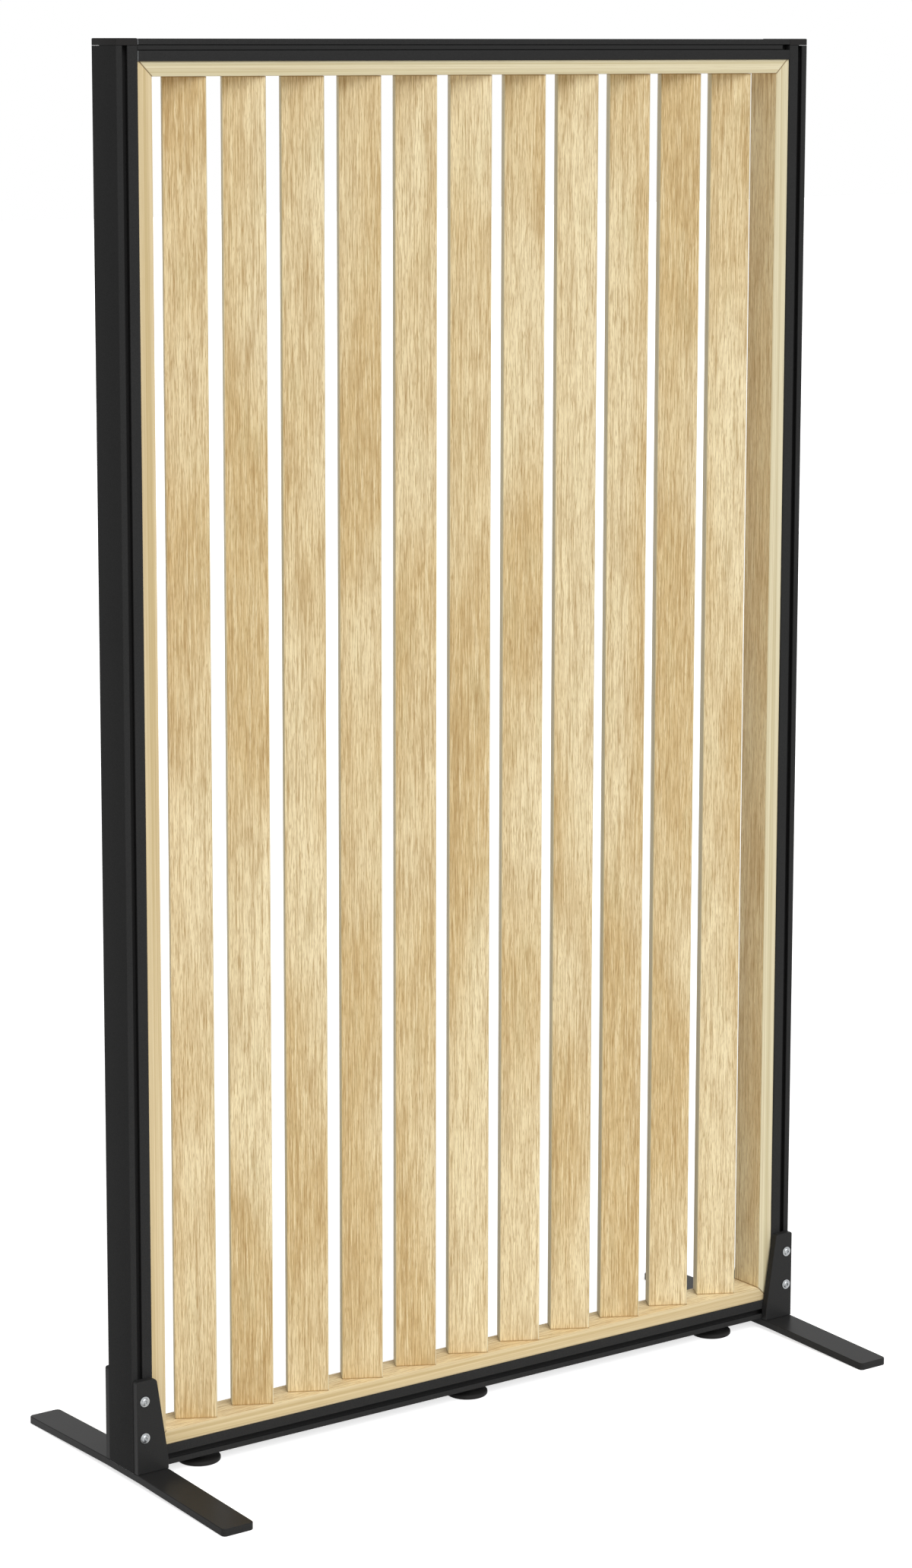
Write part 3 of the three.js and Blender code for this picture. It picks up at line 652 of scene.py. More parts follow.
# %% [markdown]
# Each slot of the top rail is filled by a snap-in plastic strip. Its flat front sits a little below the
# face of the rail, so a thin shadow runs along both of its edges. It is the CAD strip's own section with
# broken edges, and it is as long as the CAD strip, which leaves a short bare stretch of slot.

# %% Slot strips
STRIP = [(2.3, 0.8), (3.3, 1.8), (3.3, 2.7), (4.8, 2.7), (3.3, 4.5)]  # half width and depth in the slot
STRIP_ROUND, STRIP_CUT = 0.3, 0.2  # rounding of its front corners, and the broken edge at its ends

middle = top_rail_edge - RAIL_SLOT_OFFSET
half = [[u, v, STRIP_ROUND if i < 2 else 0.0] for i, (u, v) in enumerate(STRIP)]
section = turned_left(rounded(half + [[-u, v, r] for u, v, r in reversed(half)], steps=2))
for face_name, face in (("front", -1), ("rear", 1)):
    node = f"top_rail_{face_name}_slot_strip"
    low, high = box_mm(node)
    ends = [(low[0], STRIP_CUT), (low[0] + STRIP_CUT, 0), (high[0] - STRIP_CUT, 0), (high[0], STRIP_CUT)]
    loops = [[(x, face * (HALF_DEPTH - p.y), middle + p.x) for p in inset(section, d)] for x, d in ends]
    fit_mesh(lofted(f"{face_name}_snap_in_strip", loops, [extruded_pvc]), "plastic", node)

# %% [markdown]
# A cap is a moulded plug. Its visible block is as wide as the post, with a softly rounded top edge and a
# fine broken edge underneath, and its spigot goes down into the hollow of the post. All of its loops have
# the same number of points, so one skin goes over the whole plug.

# %% Post caps
CAP_HEIGHT, CAP_EDGE, CAP_SPIGOT = 8.5, 1.2, 12
CAP_JOINT = 0.3  # broken edge under the block, and play of the spigot in the hollow
SPIGOT_LEAD = (0.8, 1.5)  # how far in, and how far up, the tip of the spigot is tapered

for side_name, side in SIDES.items():
    node = f"{side_name}_post_cap"
    outer = outer_face(node, side)
    bottom = box_mm(node)[1][2] - CAP_HEIGHT

    def ring(u0, u1, half, r, z):
        xs = sorted((outer - side * u0, outer - side * u1))
        return [(p.x, p.y, z) for p in rectangle(xs[0], -half, xs[1], half, r)]

    u0, u1, half = WALL + CAP_JOINT, POST_HOLLOW_END - CAP_JOINT, HALF_HOLLOW - CAP_JOINT
    lead, lead_height = SPIGOT_LEAD
    tip, joint = bottom - CAP_SPIGOT, CAP_JOINT
    loops = [
        ring(u0 + lead, u1 - lead, half - lead, 0.4, tip),
        ring(u0, u1, half, 0.8, tip + lead_height),
        ring(u0, u1, half, 0.8, bottom),
        ring(joint, POST_WIDTH - joint, HALF_DEPTH - joint, EXTRUSION_CORNER, bottom),
        ring(0, POST_WIDTH, HALF_DEPTH, EXTRUSION_CORNER, bottom + joint),
    ]
    for k in range(5):
        turn = math.radians(90 * k / 4)
        away = CAP_EDGE * (1 - math.cos(turn))
        z = bottom + CAP_HEIGHT - CAP_EDGE * (1 - math.sin(turn))
        loops.append(ring(away, POST_WIDTH - away, HALF_DEPTH - away, EXTRUSION_CORNER, z))
    fit_mesh(lofted(f"{side_name}_end_cap", loops, [moulded_nylon]), "plastic", node)

# %% [markdown]
# The lining is a picture frame of four boards inside the metal one, mitred at its corners. A board's section
# has two rounded inner arrises, and each of its ends is cut back by its own distance from the outer face,
# which is what a mitre is. The top and bottom boards have a round socket over every slat's tenon. The flat
# inner face is oak, in a copy painted lighter to make up for the shade on it, and the edges are ash,
# yellower on the left and bottom boards. Each board stores its grain and ends coordinates after the sockets
# are cut.

# %% Lining boards
LINING_THICKNESS, LINING_ARRIS, MITRE_GAP = 20.6, 1.5, 0.21
TENON_SOCKET = (6.3, 12.3)  # radius and depth
SLAT_NODES = [f"slat_{i}" for i in range(1, 12)]


def keep_vectors(mesh, name, local):
    """Keeps local(x, y, z) of each point, in metres, as an attribute of the mesh."""
    attribute = mesh.attributes.new(name, "FLOAT_VECTOR", "POINT")
    for point, value in zip(mesh.vertices, attribute.data):
        value.vector = local(*point.co)


def board(name, place, length, edge_timber):
    """A mitred board. place(s, y, along) puts a point that is s mm in from the board's outer face."""
    half = box_mm("left_lining_board")[1][1]
    section = rounded([[0, -half], [LINING_THICKNESS, -half, LINING_ARRIS],
                       [LINING_THICKNESS, half, LINING_ARRIS], [0, half]])
    near = [place(p.x, p.y, p.x + MITRE_GAP) for p in section]
    far = [place(p.x, p.y, length - p.x - MITRE_GAP) for p in section]
    return lofted(name, [near, far], [edge_timber, oak_lightened_for_shade])


def veneer(mesh, inward):
    """Gives the flat inner face of a board its oak, and leaves the pale timber on its edges."""
    for face in mesh.polygons:
        face.material_index = 1 if face.normal.dot(Vector(inward)) > 0.95 else 0


low, high = box_mm("left_lining_board")
right = box_mm("right_lining_board")[1][0]
bottom, top = low[2] - MITRE_GAP, high[2] + MITRE_GAP
uprights = {"left": lambda s, y, along: (low[0] + s, y, bottom + along),
            "right": lambda s, y, along: (right - s, y, bottom + along)}
for number, (name, place) in enumerate(uprights.items()):
    mesh = board(f"{name}_mitred_board", place, top - bottom, golden_ash if name == "left" else pale_ash)
    veneer(mesh, (-SIDES[name], 0, 0))
    keep_vectors(mesh, "grain", lambda x, y, z: (x + 3.1 * number + 5, y, z + 7.7 * number))
    depth = lambda x: (x - low[0] * MM) if name == "left" else (right * MM - x)
    keep_vectors(mesh, "ends", lambda x, y, z: (z - bottom * MM - depth(x), top * MM - z - depth(x), 0))
    fit_mesh(mesh, "lining", f"{name}_lining_board")

for number, (name, level, inward) in enumerate((("bottom", bottom, 1), ("top", top, -1))):
    place = lambda s, y, along: (low[0] + along, y, level + inward * s)
    edge_timber = golden_ash if name == "bottom" else pale_ash
    mesh = board(f"{name}_mitred_board", place, right - low[0], edge_timber)
    piece = new_object(mesh.name, mesh)
    inner = level + inward * LINING_THICKNESS
    radius, depth = TENON_SOCKET
    profile = [(radius, z) for z in sorted((inner - inward * depth, inner + inward * 1))]
    points, faces = [], []
    for node in SLAT_NODES:
        loops = turned(profile, 24, middle_of(node)[0])
        faces += [[len(points) + i for i in face] for face in skin(loops)]
        points += [p for loop in loops for p in loop]
    carve(piece, make_mesh("sockets", points, faces))
    veneer(piece.data, (0, 0, inward))
    keep_vectors(piece.data, "grain", lambda x, y, z: (z + 2.3 * number + 11, y, x + 4.9 * number))
    depth = lambda z: (z - level * MM) * inward
    to_ends = lambda x, y, z: (x - low[0] * MM - depth(z), right * MM - x - depth(z), 0)
    keep_vectors(piece.data, "ends", to_ends)
    fit(piece, "screen", "lining", f"{name}_lining_board")

# %% [markdown]
# The slats and the screws each follow one rule, so Geometry Nodes make them. These functions start a tree
# with named sizes, add a node to the tree in hand, and turn a finished tree into a plain mesh.

# %% A helper for Geometry Nodes


def new_tree(name, sizes):
    """A geometry tree with named inputs, given as {name: (socket type, value)}."""
    tree = bpy.data.node_groups.new(name, "GeometryNodeTree")
    tree.interface.new_socket("Geometry", in_out="INPUT", socket_type="NodeSocketGeometry")
    for label, (kind, value) in sizes.items():
        tree.interface.new_socket(label, in_out="INPUT", socket_type=kind).default_value = value
    tree.interface.new_socket("Geometry", in_out="OUTPUT", socket_type="NodeSocketGeometry")
    return tree, add_node(tree, "NodeGroupInput").outputs


def grown(name, tree, values, seed_mesh=None):
    """An object whose mesh is what the tree makes, with the modifier already gone."""
    piece = new_object(name, seed_mesh or bpy.data.meshes.new(name))
    modifier = piece.modifiers.new("tree", "NODES")
    modifier.node_group = tree
    for item in tree.interface.items_tree:
        if item.in_out == "INPUT" and item.name in values:
            modifier[item.identifier] = values[item.name]
    graph = bpy.context.evaluated_depsgraph_get()
    mesh = bpy.data.meshes.new_from_object(piece.evaluated_get(graph), depsgraph=graph)
    piece.modifiers.remove(modifier)
    piece.data = mesh
    mesh.name = name
    return piece


def made(kind, inputs=None, settings=None):
    """Adds a node to the tree in hand and gives its first output."""
    return add_node(tree, kind, settings, inputs).outputs[0]


print("geometry tree helpers ready")

# %% [markdown]
# A rounded rectangle is swept into a stave, and a long cylinder through it leaves a round tenon at both
# ends. Its wide faces are oak, and its narrow sides and rounded arrises show the paler timber under them.
# The stave keeps its own coordinate as its grain before it is set out.

# %% One stave
SLAT_SIZES = {
    "Count": ("NodeSocketInt", 11),
    "Pitch": ("NodeSocketFloat", 85.5 * MM),
    "Turn": ("NodeSocketFloat", math.radians(28.4)),
    "Width": ("NodeSocketFloat", 54 * MM),
    "Thickness": ("NodeSocketFloat", 26.5 * MM),
    "Arris": ("NodeSocketFloat", 1.5 * MM),
    "Bottom": ("NodeSocketFloat", 60.7 * MM),
    "Length": ("NodeSocketFloat", 1693.5 * MM),
    "Tenon radius": ("NodeSocketFloat", 6 * MM),
    "Tenon length": ("NodeSocketFloat", 12 * MM),
}
PALE_FROM = 0.35  # how far a surface has to face sideways to show the paler timber
tree, size = new_tree("row_of_turned_slats", SLAT_SIZES)

section_inputs = {"Width": size["Width"], "Height": size["Thickness"]}
section = made("GeometryNodeCurvePrimitiveQuadrilateral", section_inputs)
fillet_inputs = {"Curve": section, "Count": 5, "Radius": size["Arris"]}
section = made("GeometryNodeFilletCurve", fillet_inputs, {"mode": "POLY"})
spine_end = made("ShaderNodeCombineXYZ", {"Z": size["Length"]})
spine = made("GeometryNodeCurvePrimitiveLine", {"Start": (0, 0, 0), "End": spine_end})
sweep_inputs = {"Curve": spine, "Profile Curve": section, "Fill Caps": True}
stave = made("GeometryNodeCurveToMesh", sweep_inputs)
rod_length_inputs = {0: size["Tenon length"], 1: 2.0, 2: size["Length"]}
rod_length = made("ShaderNodeMath", rod_length_inputs, {"operation": "MULTIPLY_ADD"})
rod_inputs = {"Vertices": 24, "Radius": size["Tenon radius"], "Depth": rod_length}
rod = made("GeometryNodeMeshCylinder", rod_inputs)
half_way = made("ShaderNodeMath", {0: size["Length"], 1: 0.5}, {"operation": "MULTIPLY"})
rod_middle = made("ShaderNodeCombineXYZ", {"Z": half_way})
rod = made("GeometryNodeTransform", {"Geometry": rod, "Translation": rod_middle})
union = add_node(tree, "GeometryNodeMeshBoolean", {"operation": "UNION", "solver": "EXACT"})
for solid in (stave, rod):
    tree.links.new(solid, union.inputs[1])
here = made("GeometryNodeInputPosition")
keep = {"data_type": "FLOAT_VECTOR", "domain": "POINT"}
grain_inputs = {"Geometry": union.outputs[0], "Name": "grain", "Value": here}
stave = made("GeometryNodeStoreNamedAttribute", grain_inputs, keep)
above = add_node(tree, "ShaderNodeSeparateXYZ", inputs={0: here}).outputs[2]
below_top = made("ShaderNodeMath", {0: size["Length"], 1: above}, {"operation": "SUBTRACT"})
to_ends = made("ShaderNodeCombineXYZ", {"X": above, "Y": below_top})
stave = made("GeometryNodeStoreNamedAttribute", {"Geometry": stave, "Name": "ends", "Value": to_ends}, keep)
stave = made("GeometryNodeSetMaterial", {"Geometry": stave, "Material": oiled_oak})
sideways = made("ShaderNodeSeparateXYZ", {0: made("GeometryNodeInputNormal")})
sideways = made("ShaderNodeMath", {0: sideways}, {"operation": "ABSOLUTE"})
narrow = made("ShaderNodeMath", {0: sideways, 1: PALE_FROM}, {"operation": "GREATER_THAN"})
ash_inputs = {"Geometry": stave, "Selection": narrow, "Material": pale_ash}
stave = made("GeometryNodeSetMaterial", ash_inputs)

# %% [markdown]
# The stave is set out on a line of points at one pitch, turned by one angle. Changing Count, Pitch or Turn
# rebuilds the row. Each copy then moves its grain by its number, so that no two slats are cut from the same
# stretch of tree.

# %% The row of slats
GRAIN_SHIFT = (0.37, 0.23, 2.9)  # metres from one slat's grain to the next one's
TENON_LENGTH = 12

gaps = made("ShaderNodeMath", {0: size["Count"], 1: 1.0}, {"operation": "SUBTRACT"})
half_pitch = made("ShaderNodeMath", {0: size["Pitch"], 1: -0.5}, {"operation": "MULTIPLY"})
first_x = made("ShaderNodeMath", {0: gaps, 1: half_pitch}, {"operation": "MULTIPLY"})
first = made("ShaderNodeCombineXYZ", {"X": first_x, "Z": size["Bottom"]})
step = made("ShaderNodeCombineXYZ", {"X": size["Pitch"]})
line = made("GeometryNodeMeshLine", {"Count": size["Count"], "Start Location": first, "Offset": step})
number_inputs = {"Geometry": line, "Name": "slat_number", "Value": made("GeometryNodeInputIndex")}
line = made("GeometryNodeStoreNamedAttribute", number_inputs)
clockwise = made("ShaderNodeMath", {0: size["Turn"], 1: -1.0}, {"operation": "MULTIPLY"})
turn = made("FunctionNodeEulerToRotation", {"Euler": made("ShaderNodeCombineXYZ", {"Z": clockwise})})
row = made("GeometryNodeInstanceOnPoints", {"Points": line, "Instance": stave, "Rotation": turn})
row = made("GeometryNodeRealizeInstances", {"Geometry": row})
number = made("GeometryNodeInputNamedAttribute", {"Name": "slat_number"})
grain = made("GeometryNodeInputNamedAttribute", {"Name": "grain"}, {"data_type": "FLOAT_VECTOR"})
shift = made("ShaderNodeVectorMath", {0: GRAIN_SHIFT, "Scale": number}, {"operation": "SCALE"})
moved = made("ShaderNodeVectorMath", {0: grain, 1: shift}, {"operation": "ADD"})
row = made("GeometryNodeStoreNamedAttribute", {"Geometry": row, "Name": "grain", "Value": moved}, keep)
add_node(tree, "NodeGroupOutput", inputs={"Geometry": row})

slat_low, slat_high = box_mm("slat_1")
slats = grown("row_of_oak_slats", tree, {
    "Bottom": (slat_low[2] + TENON_LENGTH) * MM,
    "Length": (slat_high[2] - slat_low[2] - 2 * TENON_LENGTH) * MM,
})
fit(slats, "screen", "slat", *SLAT_NODES)

# %% [markdown]
# A foot bar is a thick steel plate, level under the post and bent down to the floor at both tips. Its plan
# is a long rectangle with rounded corners, and its height at any point depends only on how far forward or
# back it is. So the bar is a stack of plan outlines whose points are lifted by that rule. The plan has
# extra points across the two bends, where the rule is rounded off, and the top and bottom faces are cut
# into strips there.

# %% Foot bars
BAR_RISE, PLATE, BEND, BEND_SPREAD, PLATE_BEVEL = 5.1, 10, 41, 7, 0.8
FOOT_CORNER, CORNER_POINTS = 6, 7
FOOT_TIP = box_mm("left_foot_bar")[1][1]
BEND_LINES = [BEND + BEND_SPREAD * k / 3 for k in range(-3, 4)]


def rise(y):
    """Height of the bar's underside above the floor, y mm from its middle."""
    slope = BAR_RISE / (FOOT_TIP - BEND)
    past = abs(y) - BEND
    if past <= -BEND_SPREAD:
        return BAR_RISE
    if past >= BEND_SPREAD:
        return BAR_RISE - slope * past
    return BAR_RISE - slope * (past + BEND_SPREAD) ** 2 / (4 * BEND_SPREAD)


def foot_plan(x0, x1, away):
    """Outline of the bar seen from above, moved in by away, with a point on every bend line."""
    r, a, b, tip = FOOT_CORNER - away, x0 + away, x1 - away, FOOT_TIP - away
    angles = [math.radians(90 * k / (CORNER_POINTS - 1)) for k in range(CORNER_POINTS)]
    bends = [-y for y in reversed(BEND_LINES)] + BEND_LINES

    def corner(x, sx, sy):
        return [(x + sx * (r * math.cos(t)), sy * (tip - r) + sy * (r * math.sin(t))) for t in angles]

    return (
        corner(b - r, 1, -1)[::-1]
        + [(b, y) for y in bends]
        + corner(b - r, 1, 1)
        + corner(a + r, -1, 1)[::-1]
        + [(a, y) for y in reversed(bends)]
        + corner(a + r, -1, -1)
    )


def strips(count, first, flip):
    """Faces across a plan outline, cut at the bend lines. count is the length of one outline."""
    lines, n = 2 * len(BEND_LINES), CORNER_POINTS
    right = list(range(n, n + lines))
    left = list(range(3 * n + lines, 3 * n + 2 * lines))[::-1]
    faces = [[left[0], *range(left[0] + 1, count), *range(n), right[0]]]
    for i in range(lines - 1):
        faces.append([left[i], right[i], right[i + 1], left[i + 1]])
    faces.append([right[-1], *range(right[-1] + 1, left[-1] + 1)])
    faces = [[first + i for i in face] for face in faces]
    return [face[::-1] for face in faces] if flip else faces


for side_name in SIDES:
    node = f"{side_name}_foot_bar"
    low, high = box_mm(node)
    rims = ((PLATE_BEVEL, 0), (0, PLATE_BEVEL), (0, PLATE - PLATE_BEVEL), (PLATE_BEVEL, PLATE))
    loops = [[(x, y, rise(y) + lift) for x, y in foot_plan(low[0], high[0], away)] for away, lift in rims]
    count = len(loops[0])
    faces = skin(loops, close=False) + strips(count, 0, True) + strips(count, 3 * count, False)
    points = [p for loop in loops for p in loop]
    fit_mesh(make_mesh(f"{side_name}_bent_foot_bar", points, faces, materials=[coat_on_plate]), "foot", node)

# %% [markdown]
# The wings are upright plates that stand on the foot bar, one in front of the post and one behind it. Laser
# cutting leaves square edges, which are broken a little before coating, so each outline is drawn out
# along Y between bevelled rims. Two holes take the screws.

# %% Wings of the feet
WING_STRAIGHT, WING_TOP_WIDTH, WING_BEVEL, SCREW_HOLE = 13.4, 28.8, 0.6, 3.3
SCREW_LEVELS = ("lower", "upper")

for side_name, side in SIDES.items():
    for face_name in ("front", "rear"):
        node = f"{side_name}_foot_{face_name}_wing"
        low, high = box_mm(node)
        outer, width = outer_face(node, side), high[0] - low[0]
        corners = [[0, low[2], 0.6], [width, low[2], 0.6], [width, low[2] + WING_STRAIGHT, 2],
                   [WING_TOP_WIDTH, high[2], 5], [0, high[2], 3]]
        outline = rounded([[outer - side * u, z, r] for u, z, r in corners], steps=6)
        loops = prism_along_y(outline, low[1], high[1], WING_BEVEL)
        mesh = lofted(f"{side_name}_{face_name}_wing_plate", loops, [coat_on_plate])
        wing = new_object(mesh.name, mesh)
        for level in SCREW_LEVELS:
            x, _, z = middle_of(f"{side_name}_{face_name}_{level}_screw")
            carve(wing, lofted("screw_hole", rod_along_y(SCREW_HOLE, x, z, low[1] - 1, high[1] + 1)))
        fit(wing, "screen", "foot", node)

# %% [markdown]
# Eight button-head screws with a flange hold the wings. One screw is turned from its profile, with a soft
# dome and rounded flange, and its hexagon socket is cut with a six-sided tool that ends in a cone, as a
# drilled socket does.

# %% One screw
SCREW_RADIUS, SCREW_LENGTH, HEAD_RADIUS, FLANGE, HEAD_TOP = 3, 20, 6.8, 1.1, 3.3
SOCKET_WIDTH, SOCKET_DEPTH = 4, 2

dome = [(4.9 * math.cos(a), FLANGE + 0.15 + (HEAD_TOP - FLANGE - 0.15) * math.sin(a))
        for a in [math.radians(90 * k / 10) for k in range(8)]]
profile = [
    (0, -SCREW_LENGTH), (SCREW_RADIUS - 0.6, -SCREW_LENGTH), (SCREW_RADIUS, -SCREW_LENGTH + 0.6),
    (SCREW_RADIUS, 0), (HEAD_RADIUS - 0.2, 0), (HEAD_RADIUS, 0.2), (HEAD_RADIUS, FLANGE - 0.4),
    (HEAD_RADIUS - 0.12, FLANGE - 0.12), (HEAD_RADIUS - 0.4, FLANGE), (5.2, FLANGE),
    *dome, (0, HEAD_TOP),
]
screw = new_object("screw", lofted("screw", turned(profile, 48), [zinc_plate]))
across = SOCKET_WIDTH / math.sqrt(3)
socket_profile = [(0, HEAD_TOP - SOCKET_DEPTH - 0.9), (across, HEAD_TOP - SOCKET_DEPTH),
                  (across, HEAD_TOP - 0.25), (across + 1.25, HEAD_TOP + 1)]
carve(screw, lofted("socket", turned(socket_profile, 6)))
screw.data.transform(Matrix.Rotation(math.radians(90), 4, "X"))
print("screw:", len(screw.data.polygons), "faces")

# %% [markdown]
# Geometry Nodes set the screw out: a grid of four points for the front, with each screw left at its own
# angle by a seeded random value, and the same set turned round for the rear.

# %% Setting the screws out
SCREW_PLACES = {
    "Distance apart": ("NodeSocketFloat", 1.053),
    "Spacing": ("NodeSocketFloat", 48 * MM),
    "Middle height": ("NodeSocketFloat", 86.5 * MM),
    "Seat": ("NodeSocketFloat", 39.6 * MM),
    "Seed": ("NodeSocketInt", 4),
}
tree, size = new_tree("screws_of_the_feet", SCREW_PLACES)
grid_inputs = {"Size X": size["Distance apart"], "Size Y": size["Spacing"], "Vertices X": 2, "Vertices Y": 2}
grid = made("GeometryNodeMeshGrid", grid_inputs)
upright = made("FunctionNodeEulerToRotation", {"Euler": (math.pi / 2, 0, 0)})
forward = made("ShaderNodeMath", {0: size["Seat"], 1: -1.0}, {"operation": "MULTIPLY"})
seat = made("ShaderNodeCombineXYZ", {"Y": forward, "Z": size["Middle height"]})
grid = made("GeometryNodeTransform", {"Geometry": grid, "Translation": seat, "Rotation": upright})
angle = add_node(tree, "FunctionNodeRandomValue", {"data_type": "FLOAT"},
                 {2: 0.0, 3: math.radians(60), "Seed": size["Seed"]}).outputs[1]
spin = made("FunctionNodeEulerToRotation", {"Euler": made("ShaderNodeCombineXYZ", {"Y": angle})})
front_inputs = {"Points": grid, "Instance": size["Geometry"], "Rotation": spin}
front = made("GeometryNodeInstanceOnPoints", front_inputs)
half_turn = made("FunctionNodeEulerToRotation", {"Euler": (0, 0, math.pi)})
rear = made("GeometryNodeTransform", {"Geometry": front, "Rotation": half_turn})
both = add_node(tree, "GeometryNodeJoinGeometry")
for four in (front, rear):
    tree.links.new(four, both.inputs[0])
real = made("GeometryNodeRealizeInstances", {"Geometry": both.outputs[0]})
real = made("GeometryNodeSetMaterial", {"Geometry": real, "Material": zinc_plate})
add_node(tree, "NodeGroupOutput", inputs={"Geometry": real})

SCREW_NODES = [f"{s}_{f}_{level}_screw" for s in SIDES for f in ("front", "rear") for level in SCREW_LEVELS]
low_screw, high_screw = middle_of("right_front_lower_screw"), middle_of("right_front_upper_screw")
screw_mesh = screw.data.copy()
bpy.data.objects.remove(screw)
screws = grown("flanged_screws", tree, {
    "Distance apart": 2 * low_screw[0] * MM,
    "Spacing": (high_screw[2] - low_screw[2]) * MM,
    "Middle height": (high_screw[2] + low_screw[2]) / 2 * MM,
}, screw_mesh)
fit(screws, "screen", "steel", *SCREW_NODES)

# %% [markdown]
# A levelling foot is a moulded pad under a threaded stud. The pad is turned, with a rounded rim, a shallow
# cone up to its hub, and a groove round the hub where the mould parts. It slides down as the stud is
# unscrewed, and doesn't turn with it, so pad and stud are separate pieces on separate bodies.

# %% Levelling pads
PAD_RADIUS = box_mm("left_leveller_pad")[1][1]
PAD_RIM, PAD_CROWN, PAD_EDGE, HUB = 6.2, 1.8, 2.2, 6.5
arc = [math.radians(90 * k / 5) for k in range(6)]
flank, hub_top = PAD_RADIUS - PAD_EDGE, PAD_RIM + PAD_CROWN
pad_profile = [(0, 0)]
pad_profile += [(flank + PAD_EDGE * math.sin(a), PAD_EDGE - PAD_EDGE * math.cos(a)) for a in arc]
pad_profile += [(flank + PAD_EDGE * math.cos(a), PAD_RIM - PAD_EDGE + PAD_EDGE * math.sin(a)) for a in arc]
pad_profile += [(HUB + 2.2, PAD_RIM + 1.45), (HUB + 1.2, PAD_RIM + 1.1), (HUB + 0.4, hub_top - 0.2),
                (HUB, hub_top), (3.6, hub_top), (3.3, hub_top - 0.3), (3.3, 2.5), (0, 2.5)]
for name in LEVELLERS:
    node = f"{name}_leveller_pad"
    loops = turned(pad_profile, 72, middle_of(node)[0])
    mesh = lofted(f"{name}_moulded_pad", loops, [moulded_nylon])
    fit(new_object(mesh.name, mesh), node, "plastic", node)

# %% [markdown]
# The stud has a plain neck that sits in the pad, a hexagon collar for a spanner, and a right-hand thread of
# 1.25 mm pitch. A thread is a rule too: at every height and angle, the radius follows a saw-tooth that
# climbs one pitch a turn. Its loops are close enough together to draw that, and it fades out at the tip,
# where a real thread is chamfered. The collar's corners are cut back by a cone, as on any turned hexagon.

# %% Studs
THREAD_RADIUS, THREAD_DEPTH, PITCH, NECK_RADIUS = 4, 0.68, 1.25, 3
COLLAR_LOW, COLLAR_HIGH, COLLAR_WIDTH = 8.3, 11.3, 13
STUD_LOW = 2.8


def thread_radius(angle, height, tip):
    turn = (height / PITCH - angle / (2 * math.pi)) % 1
    tooth = min(max(abs(turn - 0.5) * 2.6 - 0.15, 0), 1)
    fade = min((height - COLLAR_HIGH) / 0.8, 1) if height < COLLAR_HIGH + 0.8 else 1
    radius = THREAD_RADIUS - THREAD_DEPTH * (1 - tooth) * fade
    return min(radius, THREAD_RADIUS - 0.8 + (tip - height))


def stud_loops(tip):
    sides = 36
    angles = [2 * math.pi * i / sides for i in range(sides)]
    plain = [(0.0, STUD_LOW), (NECK_RADIUS - 0.4, STUD_LOW), (NECK_RADIUS, STUD_LOW + 0.4),
             (NECK_RADIUS, COLLAR_LOW + 0.5), (THREAD_RADIUS, COLLAR_LOW + 1), (THREAD_RADIUS, COLLAR_HIGH)]
    loops = turned(plain, sides)
    steps = round((tip - COLLAR_HIGH) / PITCH * 10)
    for k in range(1, steps + 1):
        z = COLLAR_HIGH + (tip - COLLAR_HIGH) * k / steps
        radii = [thread_radius(a, z, tip) for a in angles]
        loops.append([(r * math.cos(a), r * math.sin(a), z) for r, a in zip(radii, angles)])
    return loops


def hexagon_collar():
    corner, flat = COLLAR_WIDTH / math.sqrt(3), COLLAR_WIDTH / 2
    blank = turned([(corner, COLLAR_LOW), (corner, COLLAR_HIGH)], 6)
    collar = new_object("collar", lofted("collar", blank, [zinc_plate]))
    cone = [(flat, COLLAR_LOW), (corner + 0.4, COLLAR_LOW + 0.75), (corner + 0.4, COLLAR_HIGH - 0.75),
            (flat, COLLAR_HIGH)]
    carve(collar, lofted("cone", turned(cone, 48)), "INTERSECT")
    return collar


for name in LEVELLERS:
    tip = box_mm(f"{name}_leveller_stud")[1][2]
    x = middle_of(f"{name}_leveller_stud")[0]
    stud = hexagon_collar()
    carve(stud, lofted("thread", stud_loops(tip), [zinc_plate]), "UNION")
    stud.data.transform(Matrix.Translation((x * MM, 0, 0)))
    stud.name = stud.data.name = f"{name}_threaded_stud"
    fit(stud, f"{name}_leveller_stud", "steel", f"{name}_leveller_stud")

# %% [markdown]
# The corner connectors, slot nuts and threaded inserts are mostly hidden. Their CAD solids already have the
# right shape, so they stay and only take a material. They are zinc plated like the screws.

# %% Materials for the CAD pieces that stay
kept = [node for node in frame["nodes"].values() if not node.hide_render]
for node in kept:
    node.data.materials.clear()
    node.data.materials.append(zinc_plate)
print("CAD pieces kept:", sorted(node.name for node in kept))

# %% [markdown]
# The light is so even that a board is as bright at its foot as at its top. It comes from high in front: the
# feet are paler on top, and the top board shades the ends of the slats under it. A wide sun lamp does both,
# because its light doesn't fall off with distance. The world is a plain pale surround. To the camera, and
# to reflections, it is white, and to diffuse light it is dimmer, so that the colours render about as they
# are written.

# %% World and lamp
DIFFUSE_SURROUND = 0.3  # how bright the surround is to diffuse light, where 1 is what the camera sees
KEY_WIDTH, KEY_TILT, KEY_FROM_LEFT = math.radians(55), math.radians(50), math.radians(-5)
KEY_STRENGTH = 2.2


def seen_directly(tree):
    """1 for rays from the camera, off a gloss or through glass, and 0 for diffuse light."""
    rays = add_node(tree, "ShaderNodeLightPath").outputs
    seen = rays["Is Camera Ray"]
    for other in ("Is Glossy Ray", "Is Transmission Ray"):
        either = {0: seen, 1: rays[other]}
        seen = add_node(tree, "ShaderNodeMath", {"operation": "MAXIMUM"}, either).outputs[0]
    return seen


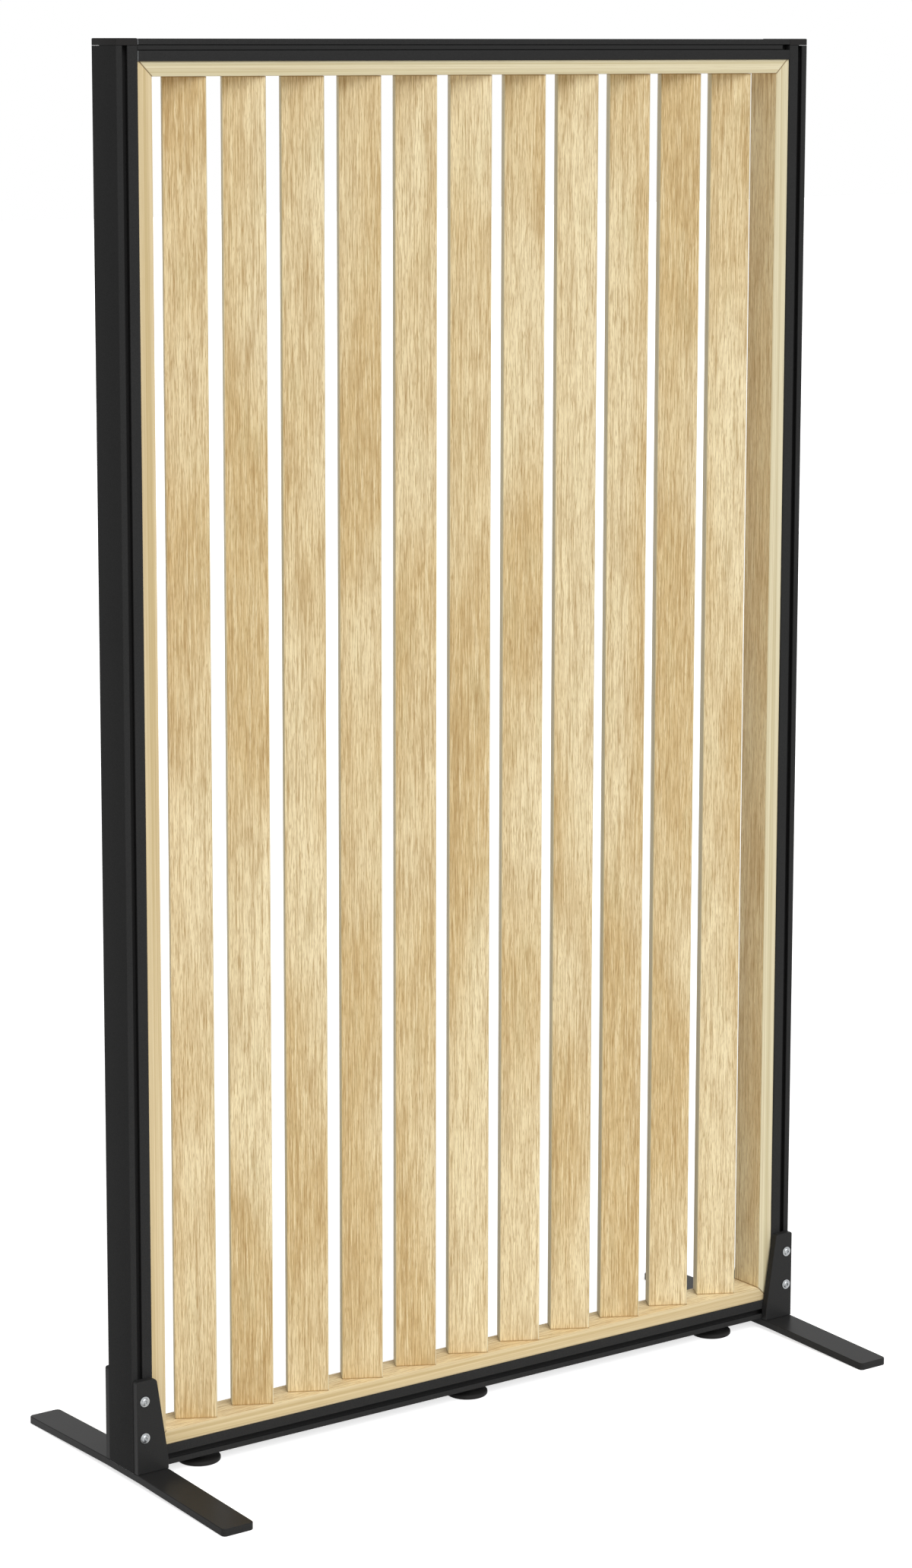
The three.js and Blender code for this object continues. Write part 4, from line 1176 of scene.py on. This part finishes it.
world = bpy.data.worlds.new("plain_studio")
bpy.context.scene.world = world
world.use_nodes = True
tree = world.node_tree
tree.nodes.clear()
strength_inputs = {"Value": seen_directly(tree), "To Min": DIFFUSE_SURROUND, "To Max": 1.0}
strength = add_node(tree, "ShaderNodeMapRange", inputs=strength_inputs).outputs[0]
surround_inputs = {"Color": hex_colour("#ffffff"), "Strength": strength}
surround = add_node(tree, "ShaderNodeBackground", inputs=surround_inputs)
add_node(tree, "ShaderNodeOutputWorld", inputs={"Surface": surround.outputs[0]})

light = bpy.data.lights.new("high_soft_key", "SUN")
light.energy = KEY_STRENGTH
light.angle = KEY_WIDTH
key = new_object("high_soft_key", light)
key.rotation_euler = (KEY_TILT, 0, KEY_FROM_LEFT)

# %% [markdown]
# The floor is one plain pale plane, just under the levelling pads. Its colour is near white, so it fades
# into the surround, and it keeps a faint shadow round the feet. To the camera and in reflections it has a
# little light of its own, which hides the line of the horizon. A levelling pad that is screwed down stands
# on the floor too, so the floor gives way to the lowest pad instead of cutting through it.

# %% Floor
FLOOR_REACH = 30.0  # metres from the middle to each edge
FLOOR_GLOW = 0.68
FLOOR_CORNERS = [(-1, -1), (1, -1), (1, 1), (-1, 1)]

floor_mesh = bpy.data.meshes.new("studio_floor")
floor_mesh.from_pydata([(x * FLOOR_REACH, y * FLOOR_REACH, 0) for x, y in FLOOR_CORNERS], [], [(0, 1, 2, 3)])
floor, tree, shader = new_material("matt_white_floor")
shader.inputs["Roughness"].default_value = 0.9
place = add_node(tree, "ShaderNodeTexCoord").outputs["Object"]
cloud = add_node(tree, "ShaderNodeTexNoise", inputs={"Vector": place, "Scale": 3.0}).outputs[0]
tint_inputs = {0: cloud, 6: hex_colour("#f4f4f4"), 7: hex_colour("#f8f8f8")}
tint = add_node(tree, "ShaderNodeMix", {"data_type": "RGBA"}, tint_inputs)
tree.links.new(tint.outputs[2], shader.inputs["Base Color"])
glow_inputs = {0: seen_directly(tree), 1: FLOOR_GLOW}
glow = add_node(tree, "ShaderNodeMath", {"operation": "MULTIPLY"}, glow_inputs)
tree.links.new(glow.outputs[0], shader.inputs["Emission Strength"])
floor_mesh.materials.append(floor)
floor_plane = new_object("studio_floor", floor_mesh)
for name in LEVELLERS:
    under_pad = floor_plane.constraints.new("FLOOR")
    under_pad.target = frame["bodies"][f"{name}_leveller_pad"]
    under_pad.floor_location = "FLOOR_NEGATIVE_Z"
floor_plane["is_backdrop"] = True

# %% [markdown]
# The camera stands where the photographer's did, found from the edges of the frame: nearly three metres to
# the left, four in front, at the height of the top of the screen, and looking a little down. The lens is
# long, so the verticals hardly converge. A small shift frames the object as the photograph does.

# %% Camera
PHOTO_WIDTH, PHOTO_HEIGHT = 1200, 2064  # pixels
FOCAL_LENGTH = 5044.54  # in those pixels, and so are the next two
CENTRE_RIGHT, CENTRE_DOWN = 564.14, 856.2  # where the lens points in the whole picture
SENSOR = 36.0
CAMERA_PLACE = (-2.88796, -4.00294, 1.79774)
LOOKING_DOWN, ROLL, LOOKING_RIGHT = 9.048, -0.043, -35.2007  # degrees

camera_data = bpy.data.cameras.new("camera")
camera_data.sensor_width = SENSOR
camera_data.lens = FOCAL_LENGTH / PHOTO_HEIGHT * SENSOR
camera_data.shift_x = (PHOTO_WIDTH / 2 - CENTRE_RIGHT) / PHOTO_HEIGHT
camera_data.shift_y = (CENTRE_DOWN - PHOTO_HEIGHT / 2) / PHOTO_HEIGHT
camera = new_object("camera", camera_data)
camera.location = CAMERA_PLACE
camera.rotation_euler = (math.radians(90 - LOOKING_DOWN), math.radians(ROLL), math.radians(LOOKING_RIGHT))
bpy.context.scene.camera = camera
bpy.context.scene.view_settings.view_transform = "Standard"
print("lens", round(camera_data.lens, 2), "mm")

# %% [markdown]
# Last, the dressed object's own box is found. It should agree with the CAD pieces to a fraction of a
# millimetre, because nothing was moved or scaled.

# %% The box of the dressed object
low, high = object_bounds()
